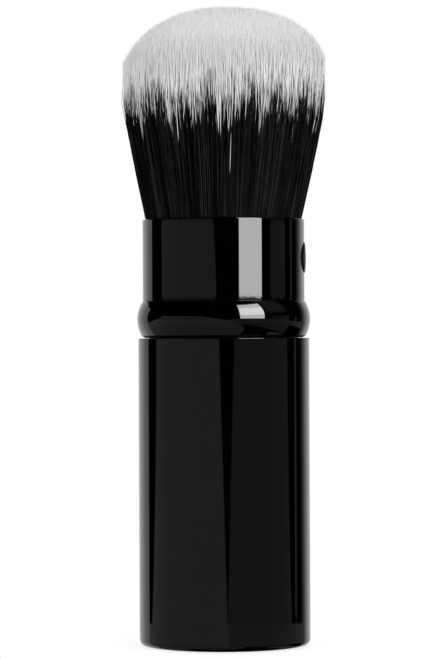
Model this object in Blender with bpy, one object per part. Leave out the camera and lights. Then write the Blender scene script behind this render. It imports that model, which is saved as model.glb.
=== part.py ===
"""Retractable makeup brush: a dense tuft on a fixed post, and a guard sleeve that slides up over it.

Lengths are in metres, with +Z up. The brush stands on the flat bottom of its lower tube, whose
centre is the origin. It is modelled open: the sleeve is down and its collar stands on the tube's rim.
The button that holds the cap looks along +X.
"""

import math

import bmesh
import bpy
from mathutils import Matrix, Vector

# Fits between pieces
PRESS_GAP = 0.0001  # beside a piece that is pressed or glued into another
SEAT_GAP = 0.00015  # under a piece that rests on another
RUN_GAP = 0.00015  # beside a piece that slides in another
OVERRUN = 0.0005  # how far a cutter runs past what it cuts
WELD = 0.000001  # points closer than this are one

# Lower tube: a deep-drawn aluminium cup, the handle
TUBE_RADIUS = 0.014
TUBE_HEIGHT = 0.0502
TUBE_WALL = 0.00045
TUBE_FLOOR = 0.0006
TUBE_FOOT_ROUND = 0.001
TUBE_LIP_ROUND = 0.00012

# Liner: the moulded cup inside the tube, with two keys that the sleeve slides along
LINER_WALL = 0.0006
LINER_FLOOR = 0.0012
LINER_BOSS_ROOF = 0.0013
KEY_WIDTH = 0.003
KEY_DEPTH = 0.0005

# Stop bush: closes the tube's mouth and bears on the guide
BUSH_WALL = 0.00045
BUSH_LENGTH = 0.0056
BUSH_FLANGE = 0.0007
BUSH_LEAD_IN = 0.0002
MOUTH_RECESS = 0.0004

# Friction ring: rubber, trapped between the keys and the bush
RING_HEIGHT = 0.001
RING_ROUND = 0.0002
RING_GAP = 0.00005

# Guide: the inner tube that carries the sleeve
GUIDE_WALL = 0.0007
FOOT_HEIGHT = 0.0026
FOOT_CLEARANCE = 0.0015
END_GAP = 0.0002
NECK_STEP = 0.0006

# Collar: the bulged grip ring at the sleeve's foot
RIM_GAP = 0.0003
COLLAR_HEIGHT = 0.0056
COLLAR_CREST_HEIGHT = 0.00265
COLLAR_CREST_STEP = 0.00088
COLLAR_FOOT_STEP = 0.00018
COLLAR_TOP_STEP = 0.00008
COLLAR_LIP = 0.0005

# Upper sleeve: a thin aluminium tube with a rolled rim
SLEEVE_HEIGHT = 0.01335
SLEEVE_WALL = 0.0004

# Catch button and the leaf spring behind it
BUTTON_RADIUS = 0.00245
BUTTON_DROP = 0.0063
BUTTON_PROUD = 0.00025
BUTTON_DOME = 0.0002
BUTTON_ROUND = 0.0001
BUTTON_GAP = 0.00015
RIVET_RADIUS = 0.0006
RIVET_HEAD_RADIUS = 0.001
RIVET_HEAD = 0.00015
LEAF_THICKNESS = 0.0002
LEAF_WIDTH = 0.0036
LEAF_ROOT = 0.0028
LEAF_RISE = 0.0024
LEAF_TIP_ROUND = 0.0009
LEAF_GAP = 0.0001
BUTTON_SETBACK = 0.00011
NECK_CLEARANCE = 0.00035

# Pedestal: the post that holds the tuft up, and the screw under it
PEDESTAL_GAP = 0.00055
PEDESTAL_BASE = 0.0016
PEDESTAL_COLUMN_RADIUS = 0.0068
PEDESTAL_WALL = 0.0015
PEDESTAL_HEAD = 0.0018
WEB_THICKNESS = 0.0012
WEB_INSET = 0.0005
SCREW_RADIUS = 0.0015
SCREW_LENGTH = 0.010
SCREW_POINT = 0.001
SCREW_HEAD_RADIUS = 0.003
SCREW_HEAD = 0.0013
SCREW_HEAD_GAP = 0.0003
SCREW_SINK = 0.00025

# Ferrule: the aluminium cup that grips the bristles
FERRULE_GAP = 0.00035
FERRULE_WALL = 0.00035
FERRULE_HEIGHT = 0.009
FERRULE_DEPTH = 0.0106
PLUG_HEIGHT = 0.003

# Tuft: straight strands that splay from the ferrule until the sleeve's rim holds them
BACKING_THICKNESS = 0.0015
ROOT_DEPTH = 0.0006
TUFT_RIM_GAP = 0.00005
COVER_MARGIN = 0.0013
DOME_HEIGHT = 0.0159
DYE_RISE = 0.0007
STRAND_GAP = 0.00024
STRAND_SCATTER = 0.0004

# Counts and plain ratios
ROUND_SIDES = 48  # the same on every turned piece, so that their flats lie side by side
SMALL_SIDES = 24
ARC_STEPS = 3
WEB_COUNT = 4
STRAND_RINGS = 8
SECTORS = 6  # each ring of strands has this many more than the one inside it
TWIST_CELLS = 3  # how far the outer ring of strands is turned, so that no straight slit runs through
DOME_POWER = 2.3
SHOULDER_SHARE = 0.85  # how far up its pale end the middle strand starts to come to a point
SHOULDER_WIDTH_SHARE = 0.8
SCATTER_WAVES = 5
SMOOTH_ANGLE = math.radians(35)

# Radii, worked inwards from the tube's outside
TUBE_BORE = TUBE_RADIUS - TUBE_WALL
LINER_RADIUS = TUBE_BORE - PRESS_GAP
LINER_BORE = LINER_RADIUS - LINER_WALL
KEY_FACE = LINER_BORE - KEY_DEPTH
FOOT_RADIUS = LINER_BORE - RUN_GAP
BUSH_RADIUS = LINER_BORE - PRESS_GAP
BUSH_BORE = BUSH_RADIUS - BUSH_WALL
GUIDE_RADIUS = BUSH_BORE - RUN_GAP
GUIDE_BORE = GUIDE_RADIUS - GUIDE_WALL
NECK_RADIUS = GUIDE_RADIUS + NECK_STEP
SLEEVE_BORE = NECK_RADIUS + PRESS_GAP
SLEEVE_RADIUS = SLEEVE_BORE + SLEEVE_WALL
PEDESTAL_RADIUS = GUIDE_BORE - PEDESTAL_GAP
FERRULE_RADIUS = GUIDE_BORE - FERRULE_GAP
FERRULE_BORE = FERRULE_RADIUS - FERRULE_WALL
TUFT_RADIUS = FERRULE_BORE - PRESS_GAP

# Heights of the fixed pieces, worked up from the tube's floor
LINER_Z = TUBE_FLOOR + SEAT_GAP
LINER_FLOOR_Z = LINER_Z + LINER_FLOOR
SCREW_Z = LINER_Z + SCREW_SINK
SCREW_SEAT_Z = SCREW_Z + SCREW_HEAD + SEAT_GAP
LINER_BOSS_Z = SCREW_SEAT_Z + LINER_BOSS_ROOF
FLANGE_Z = TUBE_HEIGHT - MOUTH_RECESS - BUSH_FLANGE
BUSH_Z = FLANGE_Z - BUSH_LENGTH
RING_Z = BUSH_Z - SEAT_GAP - RING_HEIGHT
KEY_TOP_Z = RING_Z - SEAT_GAP

# Heights of the sleeve's pieces, and how far it slides
GUIDE_Z = LINER_FLOOR_Z + FOOT_CLEARANCE
SLEEVE_TRAVEL = RING_Z - END_GAP - GUIDE_Z - FOOT_HEIGHT
COLLAR_Z = TUBE_HEIGHT + RIM_GAP
NECK_Z = COLLAR_Z + COLLAR_LIP + SEAT_GAP
SLEEVE_Z = COLLAR_Z + COLLAR_HEIGHT + SEAT_GAP
SLEEVE_TOP_Z = SLEEVE_Z + SLEEVE_HEIGHT
BUTTON_Z = SLEEVE_TOP_Z - BUTTON_DROP
NECK_TOP_Z = BUTTON_Z - BUTTON_RADIUS - NECK_CLEARANCE

# The button's back lies just inside the sleeve's bore, with the leaf behind it
BUTTON_X = math.sqrt(SLEEVE_BORE**2 - BUTTON_RADIUS**2) - BUTTON_SETBACK
LEAF_X = BUTTON_X - PRESS_GAP - LEAF_THICKNESS
BUTTON_LENGTH = SLEEVE_RADIUS + BUTTON_PROUD - BUTTON_X

# Heights of the ferrule and the tuft; the raised sleeve covers the tips
FERRULE_RIM_Z = SLEEVE_TOP_Z - FERRULE_DEPTH
FERRULE_Z = FERRULE_RIM_Z - FERRULE_HEIGHT
ROOT_Z = FERRULE_RIM_Z - ROOT_DEPTH
BACKING_Z = ROOT_Z - BACKING_THICKNESS
PLUG_Z = BACKING_Z - SEAT_GAP - PLUG_HEIGHT
TUFT_TOP_Z = SLEEVE_TOP_Z + SLEEVE_TRAVEL - COVER_MARGIN
DOME_Z = TUFT_TOP_Z - DOME_HEIGHT
DYE_Z = DOME_Z + DYE_RISE
TUFT_SPLAY = (SLEEVE_BORE - TUFT_RIM_GAP - TUFT_RADIUS) / (SLEEVE_TOP_Z - ROOT_Z)

# The pedestal stands on the liner's floor and reaches up into the ferrule
PEDESTAL_Z = LINER_FLOOR_Z + SEAT_GAP
PEDESTAL_SHOULDER_Z = FERRULE_Z - SEAT_GAP
PEDESTAL_TOP_Z = PLUG_Z - SEAT_GAP
SOCKET_RADIUS = PEDESTAL_COLUMN_RADIUS - PEDESTAL_WALL
BOSS_RADIUS = SOCKET_RADIUS - PRESS_GAP


def clear_scene():
    """Remove every object that the scene starts with."""
    for old in list(bpy.data.objects):
        bpy.data.objects.remove(old, do_unlink=True)


def finish(name, colour, roughness, metallic, coat):
    """A plain Principled material."""
    material = bpy.data.materials.new(name)
    material.use_nodes = True
    shader = material.node_tree.nodes["Principled BSDF"]
    shader.inputs["Base Color"].default_value = (*colour, 1.0)
    shader.inputs["Roughness"].default_value = roughness
    shader.inputs["Metallic"].default_value = metallic
    shader.inputs["Coat Weight"].default_value = coat
    return material


def empty(name, place, parent=None):
    """An empty on a joint's axis, which carries the pieces that move with it."""
    holder = bpy.data.objects.new(name, None)
    holder.empty_display_size = SLEEVE_RADIUS
    bpy.context.scene.collection.objects.link(holder)
    holder.parent = parent
    holder.location = Vector(place) - (world_place(parent) if parent else Vector())
    return holder


def world_place(holder):
    """Where an unturned object stands in the world."""
    return holder.location + (world_place(holder.parent) if holder.parent else Vector())


def add_piece(name, shape, place, parent=None, materials=()):
    """Turn a bmesh into an object whose own origin stands at a place in the world."""
    mesh = bpy.data.meshes.new(name)
    shape.to_mesh(mesh)
    shape.free()
    for material in materials:
        mesh.materials.append(material)
    piece = bpy.data.objects.new(name, mesh)
    bpy.context.scene.collection.objects.link(piece)
    piece.parent = parent
    piece.location = Vector(place) - (world_place(parent) if parent else Vector())
    if materials:
        mesh.shade_smooth()
        mesh.set_sharp_from_angle(angle=SMOOTH_ANGLE)
    return piece


def arc(radius, height, round_radius, start, end):
    """Points of an outline along a round corner, between two angles in degrees."""
    points = []
    for step in range(ARC_STEPS + 1):
        angle = math.radians(start + (end - start) * step / ARC_STEPS)
        points.append((radius + round_radius * math.cos(angle), height + round_radius * math.sin(angle)))
    return points


def turned_shape(outline, sides=ROUND_SIDES):
    """Spin an outline of (radius, height) points round Z. One that starts off the axis is a closed ring."""
    shape = bmesh.new()
    points = [shape.verts.new((radius, 0, height)) for radius, height in outline]
    edges = [shape.edges.new(pair) for pair in zip(points, points[1:])]
    if outline[0][0] > 0:
        edges.append(shape.edges.new((points[-1], points[0])))
    geometry = points + edges
    bmesh.ops.spin(shape, geom=geometry, axis=(0, 0, 1), angle=math.tau, steps=sides, use_merge=True)
    bmesh.ops.remove_doubles(shape, verts=shape.verts, dist=WELD)
    flatten_ends(shape)
    bmesh.ops.recalc_face_normals(shape, faces=shape.faces)
    return shape


def flatten_ends(shape):
    """Make each flat fan of triangles round the axis one face."""
    hubs = []
    for point in shape.verts:
        flat = all(abs(edge.other_vert(point).co.z - point.co.z) < WELD for edge in point.link_edges)
        if math.hypot(point.co.x, point.co.y) < WELD and flat:
            hubs.append(point)
    bmesh.ops.dissolve_verts(shape, verts=hubs)


def box_shape(low, high):
    """A block between two corners."""
    low, high = Vector(low), Vector(high)
    shape = bmesh.new()
    size = Matrix.Diagonal((*(high - low), 1.0))
    bmesh.ops.create_cube(shape, size=1.0, matrix=Matrix.Translation((low + high) / 2) @ size)
    return shape


def rod_shape(radius, start, end, sides=SMALL_SIDES):
    """A round bar along X, between two distances from the axis."""
    return lie_along_x(turned_shape([(0, start), (radius, start), (radius, end), (0, end)], sides))


def lie_along_x(shape):
    """Turn a shape made round Z so that its top looks along +X."""
    bmesh.ops.rotate(shape, verts=shape.verts, cent=(0, 0, 0), matrix=Matrix.Rotation(math.pi / 2, 3, "Y"))
    return shape


def combine(piece, name, shape, operation):
    """Cut a tool out of a piece, or join it on. The tool is made in the piece's own frame."""
    tool = add_piece(name, shape, world_place(piece), piece.parent)
    tool.hide_render = True
    tool.display_type = "WIRE"
    modifier = piece.modifiers.new(name, "BOOLEAN")
    modifier.object = tool
    modifier.operation = operation
    modifier.solver = "EXACT"


def lower_tube(material):
    """The drawn cup: a flat bottom, a small round at the foot and an eased lip."""
    outline = [(0, 0)]
    outline += arc(TUBE_RADIUS - TUBE_FOOT_ROUND, TUBE_FOOT_ROUND, TUBE_FOOT_ROUND, -90, 0)
    outline += [
        (TUBE_RADIUS, TUBE_HEIGHT - TUBE_LIP_ROUND),
        (TUBE_RADIUS - TUBE_LIP_ROUND, TUBE_HEIGHT),
        (TUBE_BORE, TUBE_HEIGHT),
        (TUBE_BORE, TUBE_FOOT_ROUND),
        (TUBE_RADIUS - TUBE_FOOT_ROUND, TUBE_FLOOR),
        (0, TUBE_FLOOR),
    ]
    return add_piece("lower_tube", turned_shape(outline), (0, 0, 0), None, [material])


def liner_cup(material):
    """The moulded liner: a screw seat under its boss, and two keys up its wall."""
    height = FLANGE_Z - SEAT_GAP - LINER_Z
    seat = SCREW_SEAT_Z - LINER_Z
    boss_top = LINER_BOSS_Z - LINER_Z
    screw_hole = SCREW_RADIUS + PRESS_GAP
    outline = [
        (screw_hole, seat),
        (SCREW_HEAD_RADIUS + SCREW_HEAD_GAP, seat),
        (SCREW_HEAD_RADIUS + SCREW_HEAD_GAP, 0),
        (TUBE_RADIUS - TUBE_FOOT_ROUND - PRESS_GAP, 0),
        (LINER_RADIUS, TUBE_FOOT_ROUND - TUBE_FLOOR + PRESS_GAP),
        (LINER_RADIUS, height),
        (LINER_BORE, height),
        (LINER_BORE, LINER_FLOOR),
        (BOSS_RADIUS, LINER_FLOOR),
        (BOSS_RADIUS, boss_top),
        (screw_hole, boss_top),
    ]
    piece = add_piece("liner_cup", turned_shape(outline), (0, 0, LINER_Z), None, [material])
    for side, name in ((1, "key_left"), (-1, "key_right")):
        inner, outer = side * KEY_FACE, side * (LINER_BORE + LINER_WALL / 2)
        low = (-KEY_WIDTH / 2, min(inner, outer), LINER_FLOOR / 2)
        high = (KEY_WIDTH / 2, max(inner, outer), KEY_TOP_Z - LINER_Z)
        combine(piece, name, box_shape(low, high), "UNION")
    return piece


def stop_bush(material):
    """The bush: a sleeve inside the liner, with a flange over the liner's rim."""
    outline = [
        (BUSH_BORE, 0),
        (BUSH_RADIUS, 0),
        (BUSH_RADIUS, BUSH_LENGTH),
        (LINER_RADIUS, BUSH_LENGTH),
        (LINER_RADIUS, BUSH_LENGTH + BUSH_FLANGE),
        (BUSH_BORE + BUSH_LEAD_IN, BUSH_LENGTH + BUSH_FLANGE),
        (BUSH_BORE, BUSH_LENGTH + BUSH_FLANGE - BUSH_LEAD_IN),
    ]
    return add_piece("stop_bush", turned_shape(outline), (0, 0, BUSH_Z), None, [material])


def friction_ring(material):
    """The rubber ring that grips the guide and softens the end of its travel."""
    inner, outer = GUIDE_RADIUS + RING_GAP, LINER_BORE - PRESS_GAP
    outline = [
        (inner, RING_ROUND),
        (inner + RING_ROUND, 0),
        (outer, 0),
        (outer, RING_HEIGHT),
        (inner + RING_ROUND, RING_HEIGHT),
        (inner, RING_HEIGHT - RING_ROUND),
    ]
    return add_piece("friction_ring", turned_shape(outline), (0, 0, RING_Z), None, [material])


def pedestal(material):
    """The moulded post: a base over the liner's boss, a webbed column and a spigot for the ferrule."""
    socket_top = LINER_BOSS_Z + SEAT_GAP - PEDESTAL_Z
    screw_hole = SCREW_RADIUS + PRESS_GAP
    hole_top = SCREW_Z + SCREW_HEAD + SCREW_LENGTH + SCREW_POINT - PEDESTAL_Z
    head = PEDESTAL_SHOULDER_Z - PEDESTAL_HEAD - PEDESTAL_Z
    shoulder = PEDESTAL_SHOULDER_Z - PEDESTAL_Z
    top = PEDESTAL_TOP_Z - PEDESTAL_Z
    outline = [
        (0, hole_top),
        (screw_hole, hole_top),
        (screw_hole, socket_top),
        (SOCKET_RADIUS, socket_top),
        (SOCKET_RADIUS, 0),
        (PEDESTAL_RADIUS, 0),
        (PEDESTAL_RADIUS, PEDESTAL_BASE),
        (PEDESTAL_COLUMN_RADIUS, PEDESTAL_BASE),
        (PEDESTAL_COLUMN_RADIUS, head),
        (FERRULE_RADIUS, head),
        (FERRULE_RADIUS, shoulder),
        (TUFT_RADIUS, shoulder),
        (TUFT_RADIUS, top),
        (0, top),
    ]
    piece = add_piece("pedestal", turned_shape(outline), (0, 0, PEDESTAL_Z), None, [material])
    reach = PEDESTAL_RADIUS - WEB_INSET
    inside = (SOCKET_RADIUS + PEDESTAL_COLUMN_RADIUS) / 2
    for number in range(WEB_COUNT):
        web = box_shape(
            (inside, -WEB_THICKNESS / 2, PEDESTAL_BASE / 2),
            (reach, WEB_THICKNESS / 2, head + PEDESTAL_HEAD / 2),
        )
        turn = Matrix.Rotation(math.tau * (number + 0.5) / WEB_COUNT, 3, "Z")
        bmesh.ops.rotate(web, verts=web.verts, cent=(0, 0, 0), matrix=turn)
        combine(piece, f"web_{number + 1}", web, "UNION")
    return piece


def pedestal_screw(material):
    """The screw that draws the pedestal down onto the liner."""
    shank_top = SCREW_HEAD + SCREW_LENGTH
    outline = [
        (0, 0),
        (SCREW_HEAD_RADIUS, 0),
        (SCREW_HEAD_RADIUS, SCREW_HEAD),
        (SCREW_RADIUS, SCREW_HEAD),
        (SCREW_RADIUS, shank_top - SCREW_POINT),
        (SCREW_RADIUS / 2, shank_top),
        (0, shank_top),
    ]
    return add_piece("pedestal_screw", turned_shape(outline, SMALL_SIDES), (0, 0, SCREW_Z), None, [material])


def ferrule(material):
    """The thin cup wall round the bristle roots, eased at its mouth."""
    outline = [
        (FERRULE_BORE, 0),
        (FERRULE_RADIUS, 0),
        (FERRULE_RADIUS, FERRULE_HEIGHT - FERRULE_WALL / 2),
        (FERRULE_BORE + FERRULE_WALL / 2, FERRULE_HEIGHT),
        (FERRULE_BORE, FERRULE_HEIGHT - FERRULE_WALL / 2),
    ]
    return add_piece("ferrule", turned_shape(outline), (0, 0, FERRULE_Z), None, [material])


def resin_plug(material):
    """The disc of cast resin under the bristle roots."""
    outline = [(0, 0), (TUFT_RADIUS, 0), (TUFT_RADIUS, PLUG_HEIGHT), (0, PLUG_HEIGHT)]
    return add_piece("resin_plug", turned_shape(outline), (0, 0, PLUG_Z), None, [material])


def strand_cells(shape):
    """Fill a disc with triangles in rings, of nearly one area each. Returns them and the outer ring."""
    rings = [[shape.verts.new((0, 0, 0))]]
    twist = math.tau * TWIST_CELLS / (SECTORS * STRAND_RINGS)
    for ring in range(1, STRAND_RINGS + 1):
        radius = TUFT_RADIUS * ring / STRAND_RINGS
        start = twist * ring / STRAND_RINGS
        count = SECTORS * ring
        angles = [start + math.tau * step / count for step in range(count)]
        rings.append([shape.verts.new((radius * math.cos(a), radius * math.sin(a), 0)) for a in angles])
    cells = []
    for ring in range(1, STRAND_RINGS + 1):
        outer, inner = rings[ring], rings[ring - 1]
        for sector in range(SECTORS):
            for step in range(ring):
                a = outer[sector * ring + step]
                b = outer[(sector * ring + step + 1) % len(outer)]
                c = inner[(sector * (ring - 1) + step) % len(inner)]
                cells.append(shape.faces.new((a, b, c)))
                if step < ring - 1:
                    d = inner[(sector * (ring - 1) + step + 1) % len(inner)]
                    cells.append(shape.faces.new((b, d, c)))
    return cells, rings[-1]


def grow_strand(shape, cell):
    """Raise one cell into a strand: a dyed body, a pale end and a point on the dome.

    Every height is a scaled copy of the root, so no two strands cross.
    """
    centre = cell.calc_center_median()
    share = centre.length / TUFT_RADIUS
    angle = math.atan2(centre.y, centre.x)
    scatter = STRAND_SCATTER * math.sin(math.tau * SCATTER_WAVES * share + STRAND_RINGS * angle)
    tip = DOME_Z - ROOT_Z + DOME_HEIGHT * math.sqrt(1 - share**DOME_POWER) + scatter
    dye = DYE_Z - ROOT_Z
    shoulder = dye + (tip - dye) * SHOULDER_SHARE * math.sqrt((tip - dye) / DOME_HEIGHT)
    spread, width = 1, 1
    for height, new_width in ((dye, 1), (shoulder, SHOULDER_WIDTH_SHARE)):
        new_spread = 1 + TUFT_SPLAY * height / TUFT_RADIUS
        growth = new_spread * new_width / (spread * width)
        cell = bmesh.ops.extrude_discrete_faces(shape, faces=[cell])["faces"][0]
        for point in cell.verts:
            place = centre * new_spread + (point.co - centre * spread) * growth
            point.co = (place.x, place.y, height)
        spread, width = new_spread, new_width
    for edge in cell.edges:
        for face in edge.link_faces:
            face.material_index = 1
    point = bmesh.ops.poke(shape, faces=[cell])["verts"][0]
    place = centre * (1 + TUFT_SPLAY * tip / TUFT_RADIUS)
    point.co = (place.x, place.y, tip)


def bristle_tuft(dyed, pale):
    """The tuft: three-sided strands that stand on a slice of their backing."""
    shape = bmesh.new()
    cells, rim = strand_cells(shape)
    below = [shape.verts.new((point.co.x, point.co.y, -BACKING_THICKNESS)) for point in rim]
    for step in range(len(rim)):
        after = (step + 1) % len(rim)
        shape.faces.new((rim[step], below[step], below[after], rim[after]))
    shape.faces.new(reversed(below))
    shape.normal_update()
    bmesh.ops.inset_individual(shape, faces=cells, thickness=STRAND_GAP / 2, use_even_offset=True)
    for cell in cells:
        grow_strand(shape, cell)
    bmesh.ops.recalc_face_normals(shape, faces=shape.faces)
    return add_piece("bristle_tuft", shape, (0, 0, ROOT_Z), None, [dyed, pale])


def guide_tube(material, parent):
    """The inner tube: a notched foot that runs on the keys, and a neck that carries the sleeve."""
    neck, neck_top = NECK_Z - GUIDE_Z, NECK_TOP_Z - GUIDE_Z
    outline = [
        (GUIDE_BORE, 0),
        (FOOT_RADIUS, 0),
        (FOOT_RADIUS, FOOT_HEIGHT),
        (GUIDE_RADIUS, FOOT_HEIGHT),
        (GUIDE_RADIUS, neck),
        (NECK_RADIUS, neck),
        (NECK_RADIUS, neck_top),
        (GUIDE_BORE, neck_top),
    ]
    piece = add_piece("guide_tube", turned_shape(outline), (0, 0, GUIDE_Z), parent, [material])
    half = KEY_WIDTH / 2 + RUN_GAP
    for side, name in ((1, "notch_left"), (-1, "notch_right")):
        floor, outside = side * (KEY_FACE - RUN_GAP), side * (FOOT_RADIUS + OVERRUN)
        low = (-half, min(floor, outside), -OVERRUN)
        high = (half, max(floor, outside), FOOT_HEIGHT + OVERRUN)
        combine(piece, name, box_shape(low, high), "DIFFERENCE")
    slot = box_shape(
        (LEAF_X - LEAF_GAP, -LEAF_WIDTH / 2 - LEAF_GAP, neck_top - LEAF_ROOT - SEAT_GAP),
        (LEAF_X + LEAF_THICKNESS + LEAF_GAP, LEAF_WIDTH / 2 + LEAF_GAP, neck_top + OVERRUN),
    )
    combine(piece, "leaf_slot", slot, "DIFFERENCE")
    return piece


def collar_ring(material, parent):
    """The grip ring: a bulged outside, and a lip that hooks under the guide's neck."""
    crest = SLEEVE_RADIUS + COLLAR_CREST_STEP
    foot_drop = COLLAR_CREST_STEP - COLLAR_FOOT_STEP
    top_drop = COLLAR_CREST_STEP - COLLAR_TOP_STEP
    above = COLLAR_HEIGHT - COLLAR_CREST_HEIGHT
    outline = [(GUIDE_RADIUS + PRESS_GAP, 0)]
    for step in range(ARC_STEPS, 0, -1):
        part = step / ARC_STEPS
        outline.append((crest - foot_drop * part**2, COLLAR_CREST_HEIGHT * (1 - part)))
    for step in range(ARC_STEPS + 1):
        part = step / ARC_STEPS
        outline.append((crest - top_drop * part**2, COLLAR_CREST_HEIGHT + above * part))
    outline += [
        (SLEEVE_BORE, COLLAR_HEIGHT),
        (SLEEVE_BORE, COLLAR_LIP),
        (GUIDE_RADIUS + PRESS_GAP, COLLAR_LIP),
    ]
    return add_piece("collar_ring", turned_shape(outline), (0, 0, COLLAR_Z), parent, [material])


def upper_sleeve(material, parent):
    """The thin sleeve over the neck, with a rolled rim and a hole for the button."""
    roll = SLEEVE_WALL / 2
    outline = [(SLEEVE_BORE, 0), (SLEEVE_RADIUS, 0)]
    outline += arc(SLEEVE_BORE + roll, SLEEVE_HEIGHT - roll, roll, 0, 180)
    piece = add_piece("upper_sleeve", turned_shape(outline), (0, 0, SLEEVE_Z), parent, [material])
    hole = rod_shape(BUTTON_RADIUS + BUTTON_GAP, SLEEVE_BORE - SLEEVE_WALL * 2, SLEEVE_RADIUS + OVERRUN)
    bmesh.ops.translate(hole, verts=hole.verts, vec=(0, 0, BUTTON_Z - SLEEVE_Z))
    combine(piece, "button_hole", hole, "DIFFERENCE")
    return piece


def catch_spring(material, parent):
    """The leaf spring: rooted in the neck's slot, rising behind the button."""
    foot_z = NECK_TOP_Z - LEAF_ROOT
    length = BUTTON_Z + LEAF_RISE - foot_z
    half, cut = LEAF_WIDTH / 2, LEAF_TIP_ROUND
    corners = [(-half, 0), (half, 0), (half, length - cut), (half - cut, length), (cut - half, length)]
    corners.append((-half, length - cut))
    shape = bmesh.new()
    face = shape.faces.new([shape.verts.new((0, across, up)) for across, up in corners])
    grown = bmesh.ops.extrude_face_region(shape, geom=[face])["geom"]
    moved = [item for item in grown if isinstance(item, bmesh.types.BMVert)]
    bmesh.ops.translate(shape, verts=moved, vec=(LEAF_THICKNESS, 0, 0))
    bmesh.ops.recalc_face_normals(shape, faces=shape.faces)
    piece = add_piece("catch_spring", shape, (LEAF_X, 0, foot_z), parent, [material])
    hole = rod_shape(RIVET_RADIUS + PRESS_GAP, -OVERRUN, LEAF_THICKNESS + OVERRUN, SMALL_SIDES // 2)
    bmesh.ops.translate(hole, verts=hole.verts, vec=(0, 0, BUTTON_Z - foot_z))
    combine(piece, "rivet_hole", hole, "DIFFERENCE")
    return piece


def catch_button(material, parent):
    """The button: a low crown outside, and a rivet behind it that holds it to the leaf."""
    head_top = -PRESS_GAP - LEAF_THICKNESS - PRESS_GAP
    crown_foot = BUTTON_LENGTH - BUTTON_DOME
    outline = [
        (0, head_top - RIVET_HEAD),
        (RIVET_HEAD_RADIUS, head_top - RIVET_HEAD),
        (RIVET_HEAD_RADIUS, head_top),
        (RIVET_RADIUS, head_top),
        (RIVET_RADIUS, 0),
        (BUTTON_RADIUS - BUTTON_ROUND, 0),
        (BUTTON_RADIUS, BUTTON_ROUND),
    ]
    for step in range(ARC_STEPS):
        part = step / ARC_STEPS
        outline.append((BUTTON_RADIUS * math.sqrt(1 - part**2), crown_foot + BUTTON_DOME * part))
    outline.append((0, BUTTON_LENGTH))
    shape = lie_along_x(turned_shape(outline, SMALL_SIDES))
    return add_piece("catch_button", shape, (BUTTON_X, 0, BUTTON_Z), parent, [material])


def main():
    """Build every piece, body by body."""
    clear_scene()
    lacquer = finish("black lacquered aluminium", (0.008, 0.008, 0.009), 0.08, 0.0, 1.0)
    casing = finish("black moulded plastic", (0.012, 0.012, 0.013), 0.45, 0.0, 0.0)
    bearing = finish("natural acetal", (0.62, 0.61, 0.58), 0.4, 0.0, 0.0)
    rubber = finish("grey silicone rubber", (0.05, 0.05, 0.055), 0.7, 0.0, 0.0)
    bare_metal = finish("bare aluminium", (0.78, 0.78, 0.8), 0.3, 1.0, 0.0)
    steel = finish("spring steel", (0.55, 0.56, 0.58), 0.25, 1.0, 0.0)
    resin = finish("amber resin", (0.32, 0.2, 0.09), 0.3, 0.0, 0.0)
    dyed = finish("black dyed fibre", (0.012, 0.012, 0.013), 0.5, 0.0, 0.0)
    pale = finish("white fibre tip", (0.78, 0.78, 0.77), 0.6, 0.0, 0.0)

    lower_tube(lacquer)
    liner_cup(casing)
    stop_bush(casing)
    friction_ring(rubber)
    pedestal(bearing)
    pedestal_screw(steel)
    ferrule(bare_metal)
    resin_plug(resin)
    bristle_tuft(dyed, pale)

    sleeve_axis = empty("sleeve_axis", (0, 0, COLLAR_Z))
    guide_tube(casing, sleeve_axis)
    collar_ring(lacquer, sleeve_axis)
    upper_sleeve(lacquer, sleeve_axis)
    catch_spring(steel, sleeve_axis)

    catch_axis = empty("catch_axis", (BUTTON_X, 0, BUTTON_Z), sleeve_axis)
    catch_button(casing, catch_axis)


main()
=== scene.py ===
"""Looks of the retractable makeup brush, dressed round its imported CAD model.

Lengths are in metres and +Z is up. Azimuths and elevations are in degrees, and the angles that shapes
are worked out with are in radians. The brush stands at the origin in its open state, with the button
that holds its cap looking along +X.
"""

import logging
import math
from collections.abc import Sequence
from dataclasses import dataclass
from enum import Enum

import bmesh
import bpy
import numpy as np
from mathutils import Matrix, Quaternion, Vector


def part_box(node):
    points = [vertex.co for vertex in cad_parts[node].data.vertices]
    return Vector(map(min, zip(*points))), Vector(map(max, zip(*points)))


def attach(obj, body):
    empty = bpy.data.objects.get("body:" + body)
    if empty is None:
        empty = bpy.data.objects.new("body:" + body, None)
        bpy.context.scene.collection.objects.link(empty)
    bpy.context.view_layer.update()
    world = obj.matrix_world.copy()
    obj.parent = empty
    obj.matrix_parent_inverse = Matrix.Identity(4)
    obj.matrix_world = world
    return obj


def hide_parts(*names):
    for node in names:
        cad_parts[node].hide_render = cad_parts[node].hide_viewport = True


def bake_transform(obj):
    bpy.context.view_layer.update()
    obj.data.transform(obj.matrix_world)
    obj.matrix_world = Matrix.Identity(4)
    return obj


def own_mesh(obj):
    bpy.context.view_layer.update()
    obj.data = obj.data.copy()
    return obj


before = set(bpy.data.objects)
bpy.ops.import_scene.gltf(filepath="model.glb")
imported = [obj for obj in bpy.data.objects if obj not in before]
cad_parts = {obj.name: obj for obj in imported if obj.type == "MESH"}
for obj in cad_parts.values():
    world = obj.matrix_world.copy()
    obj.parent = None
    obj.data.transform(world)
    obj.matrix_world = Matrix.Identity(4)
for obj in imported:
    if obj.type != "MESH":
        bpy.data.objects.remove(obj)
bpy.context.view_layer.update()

log = logging.getLogger("brush")

MM = 0.001
ROUND_SIDES = 288  # steps of a turned piece
SMOOTH_ANGLE = math.radians(28)  # edges steeper than this are shaded sharp
SIDE_KEEP = 1.06  # where a side's first point past an arc lies, as a share of the arc's reach
ON_AXIS = 1e-9  # a smaller radius lies on the axis
BAKE_MAP = "OFBake"  # a second UV map, with the same values as the fibre's map

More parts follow.
